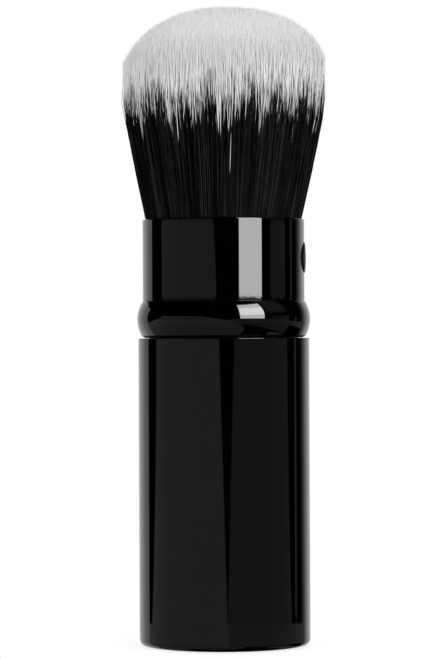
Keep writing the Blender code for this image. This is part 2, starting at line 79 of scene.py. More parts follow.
Socket = bpy.types.NodeSocket
Feed = Socket | float | tuple  # what an input can be fed with: a link, a number, a vector or a colour


class Body(Enum):
    """The CAD bodies that the pieces ride on."""

    HANDLE = "handle"
    SLEEVE = "sleeve"
    CATCH = "catch"


class Slot(Enum):
    """The material slots that the finishes belong to."""

    LACQUER = "gloss_lacquer"
    INNER = "inner_plastic"
    BUTTON = "button_plastic"
    POST = "post_plastic"
    RUBBER = "ring_rubber"
    ALUMINIUM = "ferrule_aluminium"
    STEEL = "spring_steel"
    RESIN = "cast_resin"
    BRISTLE = "bristle"


def radius_of(node: str) -> float:
    """Return half the width of a CAD node's box along Y, which is a turned piece's radius."""
    low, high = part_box(node)
    return (high.y - low.y) / 2


class NodeSheet:
    """A short way to write a node tree: it adds nodes and links their sockets."""

    def __init__(self, tree: bpy.types.NodeTree) -> None:
        """Keep the tree that the nodes go into.

        Args:
            tree: the node tree of a material, a world or a node group.
        """
        self.tree = tree

    def add(self, kind: str, inputs: dict | None = None, **settings: object) -> bpy.types.Node:
        """Add a node.

        Args:
            kind: the node's type name.
            inputs: values or sockets for its inputs, by name or index.
            settings: its other properties.

        Returns:
            The node.
        """
        node = self.tree.nodes.new(kind)
        for name, value in settings.items():
            setattr(node, name, value)
        for key, value in (inputs or {}).items():
            self.put(node.inputs[key], value)
        return node

    def put(self, socket: Socket, value: Feed) -> None:
        """Feed an input.

        Args:
            socket: the input.
            value: a constant, or an output socket to link it to.
        """
        if isinstance(value, Socket):
            self.tree.links.new(value, socket)
        else:
            socket.default_value = value

    def maths(self, operation: str, *values: Feed) -> Socket:
        """Return the result of a Math node over constants or sockets."""
        return self.add("ShaderNodeMath", dict(enumerate(values)), operation=operation).outputs[0]

    def ramp(
        self, value: Feed, low: Feed, high: Feed, to_low: float = 0.0, to_high: float = 1.0
    ) -> Socket:
        """Return a smooth step of a value.

        Args:
            value: what the step is taken of.
            low: the value up to which the result is to_low.
            high: the value from which the result is to_high.
            to_low: the result at and under low.
            to_high: the result at and over high.

        Returns:
            The result's socket.
        """
        inputs = {"Value": value, "From Min": low, "From Max": high, "To Min": to_low, "To Max": to_high}
        return self.add("ShaderNodeMapRange", inputs, interpolation_type="SMOOTHSTEP").outputs[0]

    def blend(self, share: Feed, first: Feed, second: Feed) -> Socket:
        """Mix two colours.

        Args:
            share: how much of the second there is, from 0 to 1.
            first: a colour, which is input 6 of a Mix node.
            second: the other, which is its input 7.

        Returns:
            The mixed colour's socket, which is its output 2.
        """
        node = self.add("ShaderNodeMix", data_type="RGBA")
        for number, value in ((0, share), (6, first), (7, second)):
            self.put(node.inputs[number], value)
        return node.outputs[2]

    def noise(self, place: Feed, scale: float, detail: float = 2.0) -> Socket:
        """Return the factor of a Noise Texture at a place."""
        inputs = {"Vector": place, "Scale": scale, "Detail": detail}
        return self.add("ShaderNodeTexNoise", inputs).outputs["Fac"]


class EffectGroup:
    """A node group for an effect that several finishes use, built once."""

    def __init__(self, name: str, inputs: dict[str, float], outputs: Sequence[str]) -> None:
        """Start the group with its sockets.

        Args:
            name: the group's name.
            inputs: each number that a finish sets, with its usual value.
            outputs: the names of the values that it puts out.
        """
        self.tree = bpy.data.node_groups.new(name, "ShaderNodeTree")
        for title, usual in inputs.items():
            socket = self.tree.interface.new_socket(title, in_out="INPUT", socket_type="NodeSocketFloat")
            socket.default_value = usual
        for title in outputs:
            self.tree.interface.new_socket(title, in_out="OUTPUT", socket_type="NodeSocketFloat")
        self.sheet = NodeSheet(self.tree)
        self.source = self.sheet.add("NodeGroupInput")
        self.result = self.sheet.add("NodeGroupOutput")
        self.place = self.sheet.add("ShaderNodeTexCoord").outputs["Object"]

    def give(self, title: str, value: Socket) -> None:
        """Put a value out."""
        self.sheet.put(self.result.inputs[title], value)

    def scaled(self, stretch: float = 1.0) -> Socket:
        """Count places in the group's feature size.

        Args:
            stretch: how far the features are drawn out along Z.

        Returns:
            The place divided by the size, and along Z by the stretch as well.
        """
        inverse = self.sheet.maths("DIVIDE", 1.0, self.source.outputs["Size"])
        inputs = {0: self.place, "Scale": inverse}
        place = self.sheet.add("ShaderNodeVectorMath", inputs, operation="SCALE")
        drawn = self.sheet.add("ShaderNodeMapping", {"Vector": place.outputs[0]})
        drawn.inputs["Scale"].default_value = (1.0, 1.0, 1.0 / stretch)
        return drawn.outputs[0]

    def noise(self, scale: float, detail: float = 2.0, stretch: float = 1.0) -> Socket:
        """Return a noise whose features are counted in the group's size."""
        return self.sheet.noise(self.scaled(stretch), scale, detail)


class Effects:
    """The shared effects: a wavy coat, handling marks, drawn lines and moulded grain."""

    def __init__(self) -> None:
        """Build the four groups."""
        self.waves = self._waves()
        self.marks = self._marks()
        self.lines = self._lines()
        self.grain = self._grain()

    @staticmethod
    def _waves() -> bpy.types.NodeTree:
        """Build the slow waves that a sprayed coat dries with, from two sizes of noise.

        Returns:
            The group, which puts out their height.
        """
        group = EffectGroup("coat waves", {"Size": 1.5 * MM, "Fine Share": 0.25}, ["Height"])
        slow = group.noise(1.0, detail=1.0, stretch=2.0)
        fine = group.noise(5.0, detail=1.0)
        part = group.sheet.maths("MULTIPLY", fine, group.source.outputs["Fine Share"])
        group.give("Height", group.sheet.maths("ADD", slow, part))
        return group.tree

    @staticmethod
    def _marks() -> bpy.types.NodeTree:
        """Build faint wiping marks: a coarse noise that gates a fine streaky one.

        Returns:
            The group, which puts out their mask.
        """
        group = EffectGroup("handling marks", {"Size": 6 * MM, "Low": 0.5, "High": 0.8}, ["Mask"])
        both = group.sheet.maths("MULTIPLY", group.noise(1.0), group.noise(4.0, detail=3.0, stretch=0.2))
        doubled = group.sheet.maths("MULTIPLY", both, 2.0)
        limits = group.source.outputs
        group.give("Mask", group.sheet.ramp(doubled, limits["Low"], limits["High"]))
        return group.tree

    @staticmethod
    def _lines() -> bpy.types.NodeTree:
        """Build fine lines: noise pressed thin along Z, or drawn out along it.

        Returns:
            The group, which puts out the height of lines round a piece and of lines along it.
        """
        group = EffectGroup("drawn lines", {"Size": 0.1 * MM}, ["Round", "Along"])
        group.give("Round", group.noise(0.05, stretch=0.05))
        group.give("Along", group.noise(1.0, stretch=60.0))
        return group.tree

    @staticmethod
    def _grain() -> bpy.types.NodeTree:
        """Build a moulded surface: small rounded pits of Voronoi cells over soft noise.

        Returns:
            The group, which puts out its height.
        """
        group = EffectGroup("moulded grain", {"Size": 0.12 * MM, "Pits": 0.5}, ["Height"])
        inputs = {"Vector": group.scaled(), "Scale": 1.0}
        cells = group.sheet.add("ShaderNodeTexVoronoi", inputs, feature="F1").outputs["Distance"]
        pits = group.sheet.maths("MULTIPLY", cells, group.source.outputs["Pits"])
        group.give("Height", group.sheet.maths("ADD", pits, group.noise(0.35, detail=3.0)))
        return group.tree


@dataclass(frozen=True)
class Finish:
    """A finish: its plain values, and how strongly the shared effects show in it."""

    title: str
    slot: Slot
    colour: tuple[float, float, float]
    tint: tuple[float, float, float]
    roughness: float
    rough_marks: float = 0.05
    metallic: float = 0.0
    ior: float = 1.5
    specular: float = 0.5
    wave_height: float = 0.0
    wave_size: float = 1.5 * MM
    line_height: float = 0.0
    line_size: float = 0.1 * MM
    lines_run_round: bool = False
    grain_height: float = 0.0
    grain_size: float = 0.12 * MM

    def material(self, effects: Effects) -> bpy.types.Material:
        """Build the material.

        Args:
            effects: the shared node groups.

        Returns:
            A material whose colour, roughness and normal come from the effects.
        """
        made = bpy.data.materials.new(self.title)
        made.use_nodes = True
        sheet = NodeSheet(made.node_tree)
        shader = made.node_tree.nodes["Principled BSDF"]
        shader.inputs["Metallic"].default_value = self.metallic
        shader.inputs["IOR"].default_value = self.ior
        shader.inputs["Specular IOR Level"].default_value = self.specular
        marks = sheet.add("ShaderNodeGroup", node_tree=effects.marks).outputs["Mask"]
        sheet.put(shader.inputs["Base Color"], sheet.blend(marks, (*self.colour, 1), (*self.tint, 1)))
        rough = sheet.maths("MULTIPLY_ADD", marks, self.rough_marks, self.roughness)
        sheet.put(shader.inputs["Roughness"], rough)
        normal = None
        for height, distance in self._heights(sheet, effects):
            bump = sheet.add("ShaderNodeBump", {"Height": height, "Strength": 1.0, "Distance": distance})
            if normal is not None:
                sheet.put(bump.inputs["Normal"], normal)
            normal = bump.outputs["Normal"]
        if normal is not None:
            sheet.put(shader.inputs["Normal"], normal)
        return made

    def _heights(self, sheet: NodeSheet, effects: Effects) -> list[tuple[Socket, float]]:
        """Place the effects that the finish has.

        Args:
            sheet: the material's node tree.
            effects: the shared node groups.

        Returns:
            The height of each effect, with how far it stands out.
        """
        lines_run = "Round" if self.lines_run_round else "Along"
        heights = []
        for group, output, size, height in (
            (effects.waves, "Height", self.wave_size, self.wave_height),
            (effects.lines, lines_run, self.line_size, self.line_height),
            (effects.grain, "Height", self.grain_size, self.grain_height),
        ):
            if height:
                effect = sheet.add("ShaderNodeGroup", node_tree=group)
                effect.inputs["Size"].default_value = size
                heights.append((effect.outputs[output], height))
        return heights


LACQUER = Finish(
    "gloss black lacquer", Slot.LACQUER, (0.0003, 0.0003, 0.00033), (0.0006, 0.0006, 0.00063), 0.012,
    rough_marks=0.008, ior=1.5, wave_height=0.0000005, wave_size=2.6 * MM,
)
GUIDE_PLASTIC = Finish(
    "satin black moulded plastic", Slot.INNER, (0.004, 0.004, 0.0045), (0.007, 0.007, 0.0075), 0.34,
    rough_marks=0.12, specular=0.35, line_height=0.000002, line_size=0.16 * MM, grain_height=0.000002,
)
LINER_PLASTIC = Finish(
    "grained black moulded plastic", Slot.INNER, (0.012, 0.012, 0.013), (0.02, 0.02, 0.021), 0.5,
    rough_marks=0.12, grain_height=0.000006,
)
BUTTON_PLASTIC = Finish(
    "matte black button plastic", Slot.BUTTON, (0.003, 0.003, 0.0033), (0.006, 0.006, 0.0064), 0.5,
    rough_marks=0.12, specular=0.05, grain_height=0.000004, grain_size=0.1 * MM,
)
POST_PLASTIC = Finish(
    "natural acetal", Slot.POST, (0.62, 0.61, 0.57), (0.55, 0.54, 0.5), 0.42,
    rough_marks=0.12, grain_height=0.000004,
)
RUBBER = Finish(
    "grey silicone rubber", Slot.RUBBER, (0.05, 0.05, 0.055), (0.09, 0.09, 0.095), 0.7,
    rough_marks=0.15, grain_height=0.000005, grain_size=0.08 * MM,
)
ALUMINIUM = Finish(
    "turned aluminium", Slot.ALUMINIUM, (0.78, 0.78, 0.8), (0.66, 0.66, 0.68), 0.26,
    rough_marks=0.15, metallic=1.0, line_height=0.000002, lines_run_round=True,
)
STEEL = Finish(
    "rolled spring steel", Slot.STEEL, (0.55, 0.56, 0.58), (0.44, 0.45, 0.47), 0.24,
    rough_marks=0.15, metallic=1.0, line_height=0.000002,
)
RESIN = Finish(
    "amber cast resin", Slot.RESIN, (0.32, 0.2, 0.09), (0.24, 0.14, 0.06), 0.28,
    rough_marks=0.1, wave_height=0.000008,
)


@dataclass(frozen=True)
class FibreFinish:
    """Synthetic fibre: dyed black from its root, with a pale end.

    The fibre's UV map holds, across, how far up that fibre was dyed, and along, how far up a point is.
    Both are shares of the stretch in which dye ends. A fibre's tone is a random number of its column in the
    map, and the dyed colour follows a power of it, so that few of the dyed fibres are light. That lighter
    dyed colour is partly a random tone and partly a painted sheen, which stands in for the fibres' streaky
    highlights.
    """

    dyed: tuple[float, float, float] = (0.0013, 0.0013, 0.0014)
    # partly random tone, partly painted sheen: the lighter dyed colour stands in for the fibres' highlights
    dyed_sheen: tuple[float, float, float] = (0.026, 0.026, 0.0265)
    pale: tuple[float, float, float] = (0.8, 0.8, 0.8)
    pale_deep: tuple[float, float, float] = (0.77, 0.77, 0.77)
    fade: float = 0.034
    # how few of the dyed fibres get the painted sheen
    sheen_power: float = 4.0
    roughness: float = 0.42
    roughness_gain: float = 0.12
    ior: float = 1.4
    specular: float = 0.014
    map_name: str = "fibre"
    columns: int = 512

    def column_of(self, share: float | np.ndarray) -> float | np.ndarray:
        """Return the middle of the UV map's column that a share of the map's width lies in."""
        return (np.floor(share * self.columns) + 0.5) / self.columns

    def material(self) -> bpy.types.Material:
        """Build the fibre's material.

        Returns:
            A material whose colour turns from dyed to pale where the map says.
        """
        made = bpy.data.materials.new("dyed fibre with pale ends")
        made.use_nodes = True
        sheet = NodeSheet(made.node_tree)
        shader = made.node_tree.nodes["Principled BSDF"]
        shader.inputs["IOR"].default_value = self.ior
        shader.inputs["Specular IOR Level"].default_value = self.specular
        place = sheet.add("ShaderNodeUVMap", uv_map=self.map_name).outputs["UV"]
        parts = sheet.add("ShaderNodeSeparateXYZ", {"Vector": place})
        column = sheet.maths("FLOOR", sheet.maths("MULTIPLY", parts.outputs["X"], float(self.columns)))
        dyed_to = sheet.maths("DIVIDE", sheet.maths("ADD", column, 0.5), float(self.columns))
        tone = sheet.add("ShaderNodeTexWhiteNoise", {"W": column}, noise_dimensions="1D").outputs["Value"]
        above = sheet.maths("SUBTRACT", parts.outputs["Y"], dyed_to)
        paleness = sheet.ramp(above, -self.fade, self.fade)
        # painted sheen: a few fibres get the lighter dyed colour in place of their own highlights
        sheen_few = sheet.maths("POWER", tone, self.sheen_power)
        dark = sheet.blend(sheen_few, (*self.dyed, 1), (*self.dyed_sheen, 1))
        light = sheet.blend(tone, (*self.pale_deep, 1), (*self.pale, 1))
        sheet.put(shader.inputs["Base Color"], sheet.blend(paleness, dark, light))
        rough = sheet.maths("MULTIPLY_ADD", tone, self.roughness_gain, self.roughness)
        sheet.put(shader.inputs["Roughness"], rough)
        return made


def mesh_piece(
    name: str,
    points: np.ndarray,
    quads: np.ndarray,
    triangles: np.ndarray | None = None,
    maps: dict[str, np.ndarray] | None = None,
) -> bpy.types.Object:
    """Put whole arrays into a new mesh object at the origin.

    Args:
        name: the piece's name.
        points: places of the vertices, one row each.
        quads: four vertex numbers a row.
        triangles: three vertex numbers a row.
        maps: UV maps by name, one row for each corner of the quads and then of the triangles.

    Returns:
        The object, linked to the scene.
    """
    triangles = np.zeros((0, 3), int) if triangles is None else triangles
    mesh = bpy.data.meshes.new(name)
    corners = np.concatenate([quads.ravel(), triangles.ravel()]).astype(np.int32)
    counts = np.concatenate([np.full(len(quads), 4), np.full(len(triangles), 3)]).astype(np.int32)
    starts = np.concatenate([[0], np.cumsum(counts)[:-1]]).astype(np.int32)
    mesh.vertices.add(len(points))
    mesh.vertices.foreach_set("co", points.astype(np.float32).ravel())
    mesh.loops.add(len(corners))
    mesh.loops.foreach_set("vertex_index", corners)
    mesh.polygons.add(len(counts))
    mesh.polygons.foreach_set("loop_start", starts)
    mesh.polygons.foreach_set("loop_total", counts)
    for title, values in (maps or {}).items():
        layer = mesh.uv_layers.new(name=title)
        layer.data.foreach_set("uv", values.astype(np.float32).ravel())
    mesh.update(calc_edges=True)
    mesh.validate()
    mesh.shade_smooth()
    piece = bpy.data.objects.new(name, mesh)
    bpy.context.scene.collection.objects.link(piece)
    return piece


def filleted(corners: Sequence[tuple[float, float, float]], steps: int = 6) -> np.ndarray:
    """Round the corners of a closed outline.

    An arc of the corner's radius f touches both sides at f divided by the tangent of half the corner. A
    point on each side just past the arc keeps the smooth shading of the side as straight as the side.

    Args:
        corners: (radius, height, corner radius) of each corner, in order round the outline.
        steps: how many straight steps each arc has.

    Returns:
        The outline's points, one (radius, height) row each.
    """
    places = np.array([corner[:2] for corner in corners], float)
    made = []
    for number, (_, _, size) in enumerate(corners):
        here = places[number]
        if size <= 0:
            made.append(here[None])
            continue
        back, ahead = places[number - 1] - here, places[(number + 1) % len(places)] - here
        back, ahead = back / np.linalg.norm(back), ahead / np.linalg.norm(ahead)
        half = math.acos(np.clip(back @ ahead, -1, 1)) / 2
        middle = (back + ahead) / np.linalg.norm(back + ahead)
        centre = here + middle * size / math.sin(half)
        reach = size / math.tan(half)
        first = here + back * reach - centre
        last = here + ahead * reach - centre
        start = math.atan2(first[1], first[0])
        turn = (math.atan2(last[1], last[0]) - start + math.pi) % math.tau - math.pi
        angles = start + turn * np.linspace(0, 1, steps + 1)
        arc = centre + size * np.stack([np.cos(angles), np.sin(angles)], 1)
        past = reach * SIDE_KEEP
        made.append(np.concatenate([[here + back * past], arc, [here + ahead * past]]))
    return np.concatenate(made)


def ring_faces(rows: int, columns: int, closed_rows: bool) -> np.ndarray:
    """Return the quads of a grid that closes on itself.

    Args:
        rows: how many rows of vertices it has.
        columns: how many vertices each row has. Each row closes on itself.
        closed_rows: whether the last row joins the first as well.

    Returns:
        Four vertex numbers a row.
    """
    row = np.arange(rows if closed_rows else rows - 1)[:, None]
    column = np.arange(columns)[None]
    after_row, after_column = (row + 1) % rows, (column + 1) % columns
    corners = [row * columns + column, row * columns + after_column]
    corners += [after_row * columns + after_column, after_row * columns + column]
    return np.stack([np.broadcast_to(c, (len(row), columns)) for c in corners], -1).reshape(-1, 4)


def facing_out(points: np.ndarray, quads: np.ndarray, triangles: np.ndarray) -> bool:
    """Tell which way a closed mesh's faces look, by its volume: a sixth of the sum of a.(b x c).

    Args:
        points: places of the vertices.
        quads: four vertex numbers a row.
        triangles: three vertex numbers a row.

    Returns:
        Whether the volume is positive, and so the faces look out.
    """
    fans = np.concatenate([quads[:, [0, 1, 2]], quads[:, [0, 2, 3]], triangles])
    a, b, c = (points[fans[:, k]] for k in range(3))
    return float(np.einsum("ij,ij->i", a, np.cross(b, c)).sum()) > 0


def turned(name: str, outline: np.ndarray, sides: int = ROUND_SIDES) -> bpy.types.Object:
    """Turn an outline round Z: a point is (r cos t, r sin t, z) for each outline point and angle t.

    Args:
        name: the piece's name.
        outline: (radius, height) rows. If the first and the last lie on the axis, they become poles, and
            otherwise the outline closes on itself.
        sides: how many steps the turn has.

    Returns:
        The piece, with its faces out and its crisp edges sharp.
    """
    poles = outline[0, 0] < ON_AXIS and outline[-1, 0] < ON_AXIS
    profile = outline[1:-1] if poles else outline
    angles = math.tau * np.arange(sides) / sides
    points = np.stack(
        [
            np.outer(profile[:, 0], np.cos(angles)),
            np.outer(profile[:, 0], np.sin(angles)),
            np.repeat(profile[:, 1:], sides, 1),
        ],
        -1,
    ).reshape(-1, 3)
    quads = ring_faces(len(profile), sides, not poles)
    triangles = np.zeros((0, 3), int)
    if poles:
        first, last = len(points), len(points) + 1
        points = np.concatenate([points, [[0, 0, outline[0, 1]], [0, 0, outline[-1, 1]]]])
        here = np.arange(sides)
        after = (here + 1) % sides
        top = (len(profile) - 1) * sides
        start_fan = np.stack([np.full(sides, first), after, here], 1)
        end_fan = np.stack([np.full(sides, last), top + here, top + after], 1)
        triangles = np.concatenate([start_fan, end_fan])
    if not facing_out(points, quads, triangles):
        quads, triangles = quads[:, ::-1], triangles[:, ::-1]
    piece = mesh_piece(name, points, quads, triangles)
    piece.data.set_sharp_from_angle(angle=SMOOTH_ANGLE)
    return piece


def fit_out(
    piece: bpy.types.Object, body: Body, finish_slot: Slot, material: bpy.types.Material, *nodes: str
) -> None:
    """Make a piece part of the brush.

    Args:
        piece: the piece, whose mesh is final.
        body: the body that it rides on.
        finish_slot: the slot that its finish belongs to; not used.
        material: its material.
        nodes: the CAD nodes that it stands for.
    """
    piece.data.materials.append(material)
    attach(piece, body.value)
    if nodes:
        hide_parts(*nodes)
    faces = sum(len(polygon.vertices) - 2 for polygon in piece.data.polygons)
    log.info("%s: %d triangles on %s", piece.name, faces, body.value)


@dataclass
class LowerTube:
    """The handle: a deep-drawn cup, lacquered, with a small round at its foot and an eased lip."""

    wall: float = 0.45 * MM
    floor: float = 0.6 * MM
    foot_round: float = 1.0 * MM
    inner_round: float = 0.6 * MM
    lip_round: float = 0.07 * MM
    lip_inner_round: float = 0.07 * MM
    sole_dish: float = 0.12 * MM
    sole_rim: float = 2.2 * MM
    steps: int = 8

    def outline(self) -> np.ndarray:
        """Lay out the cup, from the middle of the sole round the lip to the middle of the floor.

        Returns:
            (radius, height) rows.
        """
        low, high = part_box("lower_tube")
        radius, top, bottom = radius_of("lower_tube"), high.z, low.z
        sole = radius - self.sole_rim
        corners = [
            (0, bottom + self.sole_dish, 0),
            (sole - self.sole_dish, bottom + self.sole_dish, 4 * self.sole_dish),
            (sole, bottom, 2 * self.sole_dish),
            (radius, bottom, self.foot_round),
            (radius, top, self.lip_round),
            (radius - self.wall, top, self.lip_inner_round),
            (radius - self.wall, bottom + self.floor, self.inner_round),
            (0, bottom + self.floor, 0),
        ]
        return filleted(corners, self.steps)

    def build(self, material: bpy.types.Material) -> None:
        """Build the cup and dress it."""
        fit_out(turned("tube_shell", self.outline()), Body.HANDLE, Slot.LACQUER, material, "lower_tube")


@dataclass
class StopBush:
    """The bush in the tube's mouth: its flange shows round the guide when the sleeve is up."""

    flange: float = 0.7 * MM
    lead_in: float = 0.2 * MM
    edge: float = 0.08 * MM
    wall: float = 0.45 * MM
    clearance: float = 0.1 * MM
    liner_wall: float = 0.6 * MM

    def outline(self) -> np.ndarray:
        """Lay out a sleeve with a flange at its top.

        Returns:
            (radius, height) rows of a closed outline.
        """
        low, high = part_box("stop_bush")
        outer = radius_of("stop_bush")
        sleeve = outer - self.liner_wall - self.clearance
        bore = sleeve - self.wall
        corners = [
            (bore, low.z, self.edge),
            (sleeve, low.z, self.edge),
            (sleeve, high.z - self.flange, 0),
            (outer, high.z - self.flange, self.edge),
            (outer, high.z, self.edge),
            (bore, high.z, self.lead_in),
        ]
        return filleted(corners, steps=4)

    def build(self, material: bpy.types.Material) -> None:
        """Build the bush and dress it."""
        fit_out(turned("mouth_bush", self.outline()), Body.HANDLE, Slot.INNER, material, "stop_bush")


@dataclass
class Collar:
    """The grip ring: two parabolas that meet at a crest outside, and a hooked lip inside."""

    crest_height: float = 2.83 * MM
    crest_gain: float = 0.03 * MM
    foot_step: float = 0.72 * MM
    top_step: float = 0.84 * MM
    seam: float = 0.03 * MM
    lip: float = 0.5 * MM
    lip_reach: float = 0.58 * MM
    edge: float = 0.03 * MM
    steps: int = 30

    def outline(self) -> np.ndarray:
        """Lay out the ring.

        Outside, the radius is the crest's less a step times the square of the share of the way from
        the crest to the end.

        Returns:
            (radius, height) rows of a closed outline.
        """
        low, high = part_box("collar_ring")
        crest = radius_of("collar_ring") + self.crest_gain
        bottom, middle = low.z, low.z + self.crest_height
        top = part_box("upper_sleeve")[0].z - self.seam
        sleeve_bore = radius_of("upper_sleeve") - UpperSleeve.wall
        shoulder, inner = crest - self.top_step, sleeve_bore - self.lip_reach
        below = np.linspace(1, 0, self.steps)[:-1]
        above = np.linspace(0, 1, self.steps)[:-1]
        lower = np.stack([crest - self.foot_step * below**2, middle - (middle - bottom) * below], 1)
        upper = np.stack([crest - self.top_step * above**2, middle + (top - middle) * above], 1)
        inside = filleted(
            [
                (shoulder, top, self.edge),
                (sleeve_bore, top, self.edge),
                (sleeve_bore, bottom + self.lip, 0),
                (inner, bottom + self.lip, self.edge),
                (inner, bottom, self.edge),
                (crest - self.foot_step, bottom, self.edge),
            ],
            steps=4,
        )
        upper = upper[upper[:, 1] < inside[0, 1]]
        lower = lower[lower[:, 1] > inside[-1, 1]]
        return np.concatenate([lower, upper, inside])

    def build(self, material: bpy.types.Material) -> None:
        """Build the ring and dress it."""
        fit_out(turned("collar_shell", self.outline()), Body.SLEEVE, Slot.LACQUER, material, "collar_ring")


@dataclass
class UpperSleeve:
    """The thin sleeve: a rolled rim on top, an eased foot and a round hole for the button.

    Its wall is a sheet of (angle, height) places that is wrapped at the outer and at the inner radius.
    Round the hole the sheet's grid gives way to rings that run from the edge of a square window to the
    hole's edge.
    """

    wall: float = 0.4 * MM
    foot_round: float = 0.04 * MM
    hole_gap: float = 0.15 * MM
    window_share: float = 1.35
    window_cells: int = 16
    hole_rings: int = 6
    rows_below: int = 8
    rows_above: int = 10
    roll_steps: int = 10
    foot_steps: int = 6

    def build(self, material: bpy.types.Material) -> None:
        """Build the sleeve and dress it.

        Args:
            material: the lacquer.
        """
        low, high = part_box("upper_sleeve")
        button_low, button_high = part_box("catch_button")
        outer = radius_of("upper_sleeve")
        inner = outer - self.wall
        hole = (button_high.z - button_low.z) / 2 + self.hole_gap
        centre = (button_high.z + button_low.z) / 2
        foot, shoulder = low.z + self.foot_round, high.z - self.wall / 2
        sheet, cells, hole_ring, bottom, top = self._sheet(outer, foot, shoulder, centre, hole)
        count = len(sheet)
        points = [self._wrap(sheet, outer), self._wrap(sheet, inner)]
        quads = [cells, cells[:, ::-1] + count, self._strip(hole_ring, hole_ring + count)]
        start = 2 * count
        roll_bands = self._roll(inner, outer, shoulder, sheet[top, 0])
        foot_bands = self._foot(inner, outer, foot, sheet[bottom, 0])
        for ring, bands in ((top, roll_bands), (bottom, foot_bands)):
            rows = [ring]
            for band in bands:
                points.append(band)
                rows.append(np.arange(start, start + len(band)))
                start += len(band)
            rows.append(ring + count)
            for first, second in zip(rows, rows[1:]):
                quads.append(self._strip(first, second))
        used, compact = np.unique(np.concatenate(quads), return_inverse=True)
        piece = mesh_piece("sleeve_shell", np.concatenate(points)[used], compact.reshape(-1, 4))
        face_out(piece)
        piece.data.set_sharp_from_angle(angle=SMOOTH_ANGLE)
        fit_out(piece, Body.SLEEVE, Slot.LACQUER, material, "upper_sleeve")

    def _sheet(
        self, radius: float, low: float, high: float, centre: float, hole: float
    ) -> tuple[np.ndarray, np.ndarray, np.ndarray, np.ndarray, np.ndarray]:
        """Lay out the unrolled wall.

        Args:
            radius: the outer radius, at which the hole is round.
            low: the sheet's lowest height.
            high: the sheet's highest height.
            centre: the hole's height.
            hole: the hole's radius.

        Returns:
            (angle, height) rows, quads, and the numbers of the vertices round the hole, along the
            lowest row and along the highest one.
        """
        half, n = hole * self.window_share, self.window_cells
        wide = half / radius
        window_columns = np.linspace(-wide, wide, n + 1)
        far_columns = np.linspace(wide, math.tau - wide, ROUND_SIDES - n + 1)[1:-1]
        angles = np.concatenate([window_columns, far_columns])
        near = self.foot_round / 2
        below = np.linspace(low + near, centre - half, self.rows_below + 1)[:-1]
        below = np.append(low, below)
        window_rows = np.linspace(centre - half, centre + half, n + 1)
        above = np.linspace(centre + half, high - near, self.rows_above + 1)[1:]
        above = np.append(above, high)
        heights = np.concatenate([below, window_rows, above])
        rows, columns = len(heights), len(angles)
        grid = np.stack(np.meshgrid(angles, heights), -1).reshape(-1, 2)
        cells = ring_faces(rows, columns, False)
        cell_row, cell_column = np.divmod(np.arange(len(cells)), columns)
        first = len(below)
        inside = (cell_row >= first) & (cell_row < first + n) & (cell_column < n)
        number = np.arange(rows * columns).reshape(rows, columns)[first : first + n + 1, : n + 1]
        square = np.concatenate([number[0, :-1], number[:-1, -1], number[-1, :0:-1], number[:0:-1, 0]])
        flat = np.stack([grid[square, 0] * radius, grid[square, 1] - centre], 1)
        round_to = flat / np.linalg.norm(flat, axis=1, keepdims=True) * hole
        shares = np.linspace(0, 1, self.hole_rings + 1)[1:, None, None]
        rings = flat[None] * (1 - shares) + round_to[None] * shares
        rings = np.stack([rings[..., 0] / radius, rings[..., 1] + centre], -1).reshape(-1, 2)
        ring_numbers = rows * columns + np.arange(len(rings)).reshape(self.hole_rings, -1)
        bands = [square, *ring_numbers]
        patches = [self._strip(a, b) for a, b in zip(bands, bands[1:])]
        places, quads = np.concatenate([grid, rings]), np.concatenate([cells[~inside], *patches])
        bottom = np.arange(columns)
        return places, quads, bands[-1], bottom, bottom + (rows - 1) * columns

    @staticmethod
    def _wrap(sheet: np.ndarray, radius: float) -> np.ndarray:
        """Return the sheet's places on a cylinder: (r cos a, r sin a, z)."""
        return np.stack([radius * np.cos(sheet[:, 0]), radius * np.sin(sheet[:, 0]), sheet[:, 1]], 1)

    @staticmethod
    def _strip(first: np.ndarray, second: np.ndarray) -> np.ndarray:
        """Return the quads between two closed rows of vertices."""
        return np.stack([first, np.roll(first, -1), np.roll(second, -1), second], 1)

    def _roll(self, inner: float, outer: float, height: float, angles: np.ndarray) -> list[np.ndarray]:
        """Roll the rim: half a circle from the outer radius to the inner one.

        Args:
            inner: the bore's radius.
            outer: the outer radius.
            height: the height at which the roll starts and ends.
            angles: the angles of the wall's columns.

        Returns:
            The rings between the two walls.
        """
        middle, size = (inner + outer) / 2, (outer - inner) / 2
        bends = np.linspace(0, math.pi, self.roll_steps + 1)[1:-1]
        return [
            self._ring(middle + size * math.cos(bend), height + size * math.sin(bend), angles)
            for bend in bends
        ]

    def _foot(self, inner: float, outer: float, height: float, angles: np.ndarray) -> list[np.ndarray]:
        """Ease the foot: a quarter round outside, a flat, and a small edge inside.

        Args:
            inner: the bore's radius.
            outer: the outer radius.
            height: the height at which the walls end.
            angles: the angles of the wall's columns.

        Returns:
            The rings between the two walls.
        """
        size = self.foot_round
        bends = np.linspace(0, math.pi / 2, self.foot_steps + 1)[1:]
        rings = [
            self._ring(outer - size + size * math.cos(bend), height - size * math.sin(bend), angles)
            for bend in bends
        ]
        rings.append(self._ring(inner, height - size, angles))
        return rings

    @staticmethod
    def _ring(radius: float, height: float, angles: np.ndarray) -> np.ndarray:
        """Return one ring of points."""
        return np.stack([radius * np.cos(angles), radius * np.sin(angles), np.full(len(angles), height)], 1)


def face_out(piece: bpy.types.Object) -> None:
    """Make a closed mesh's faces agree and point outwards.

    Args:
        piece: the piece that has the mesh.
    """
    shape = bmesh.new()
    shape.from_mesh(piece.data)
    bmesh.ops.recalc_face_normals(shape, faces=shape.faces)
    shape.to_mesh(piece.data)
    shape.free()


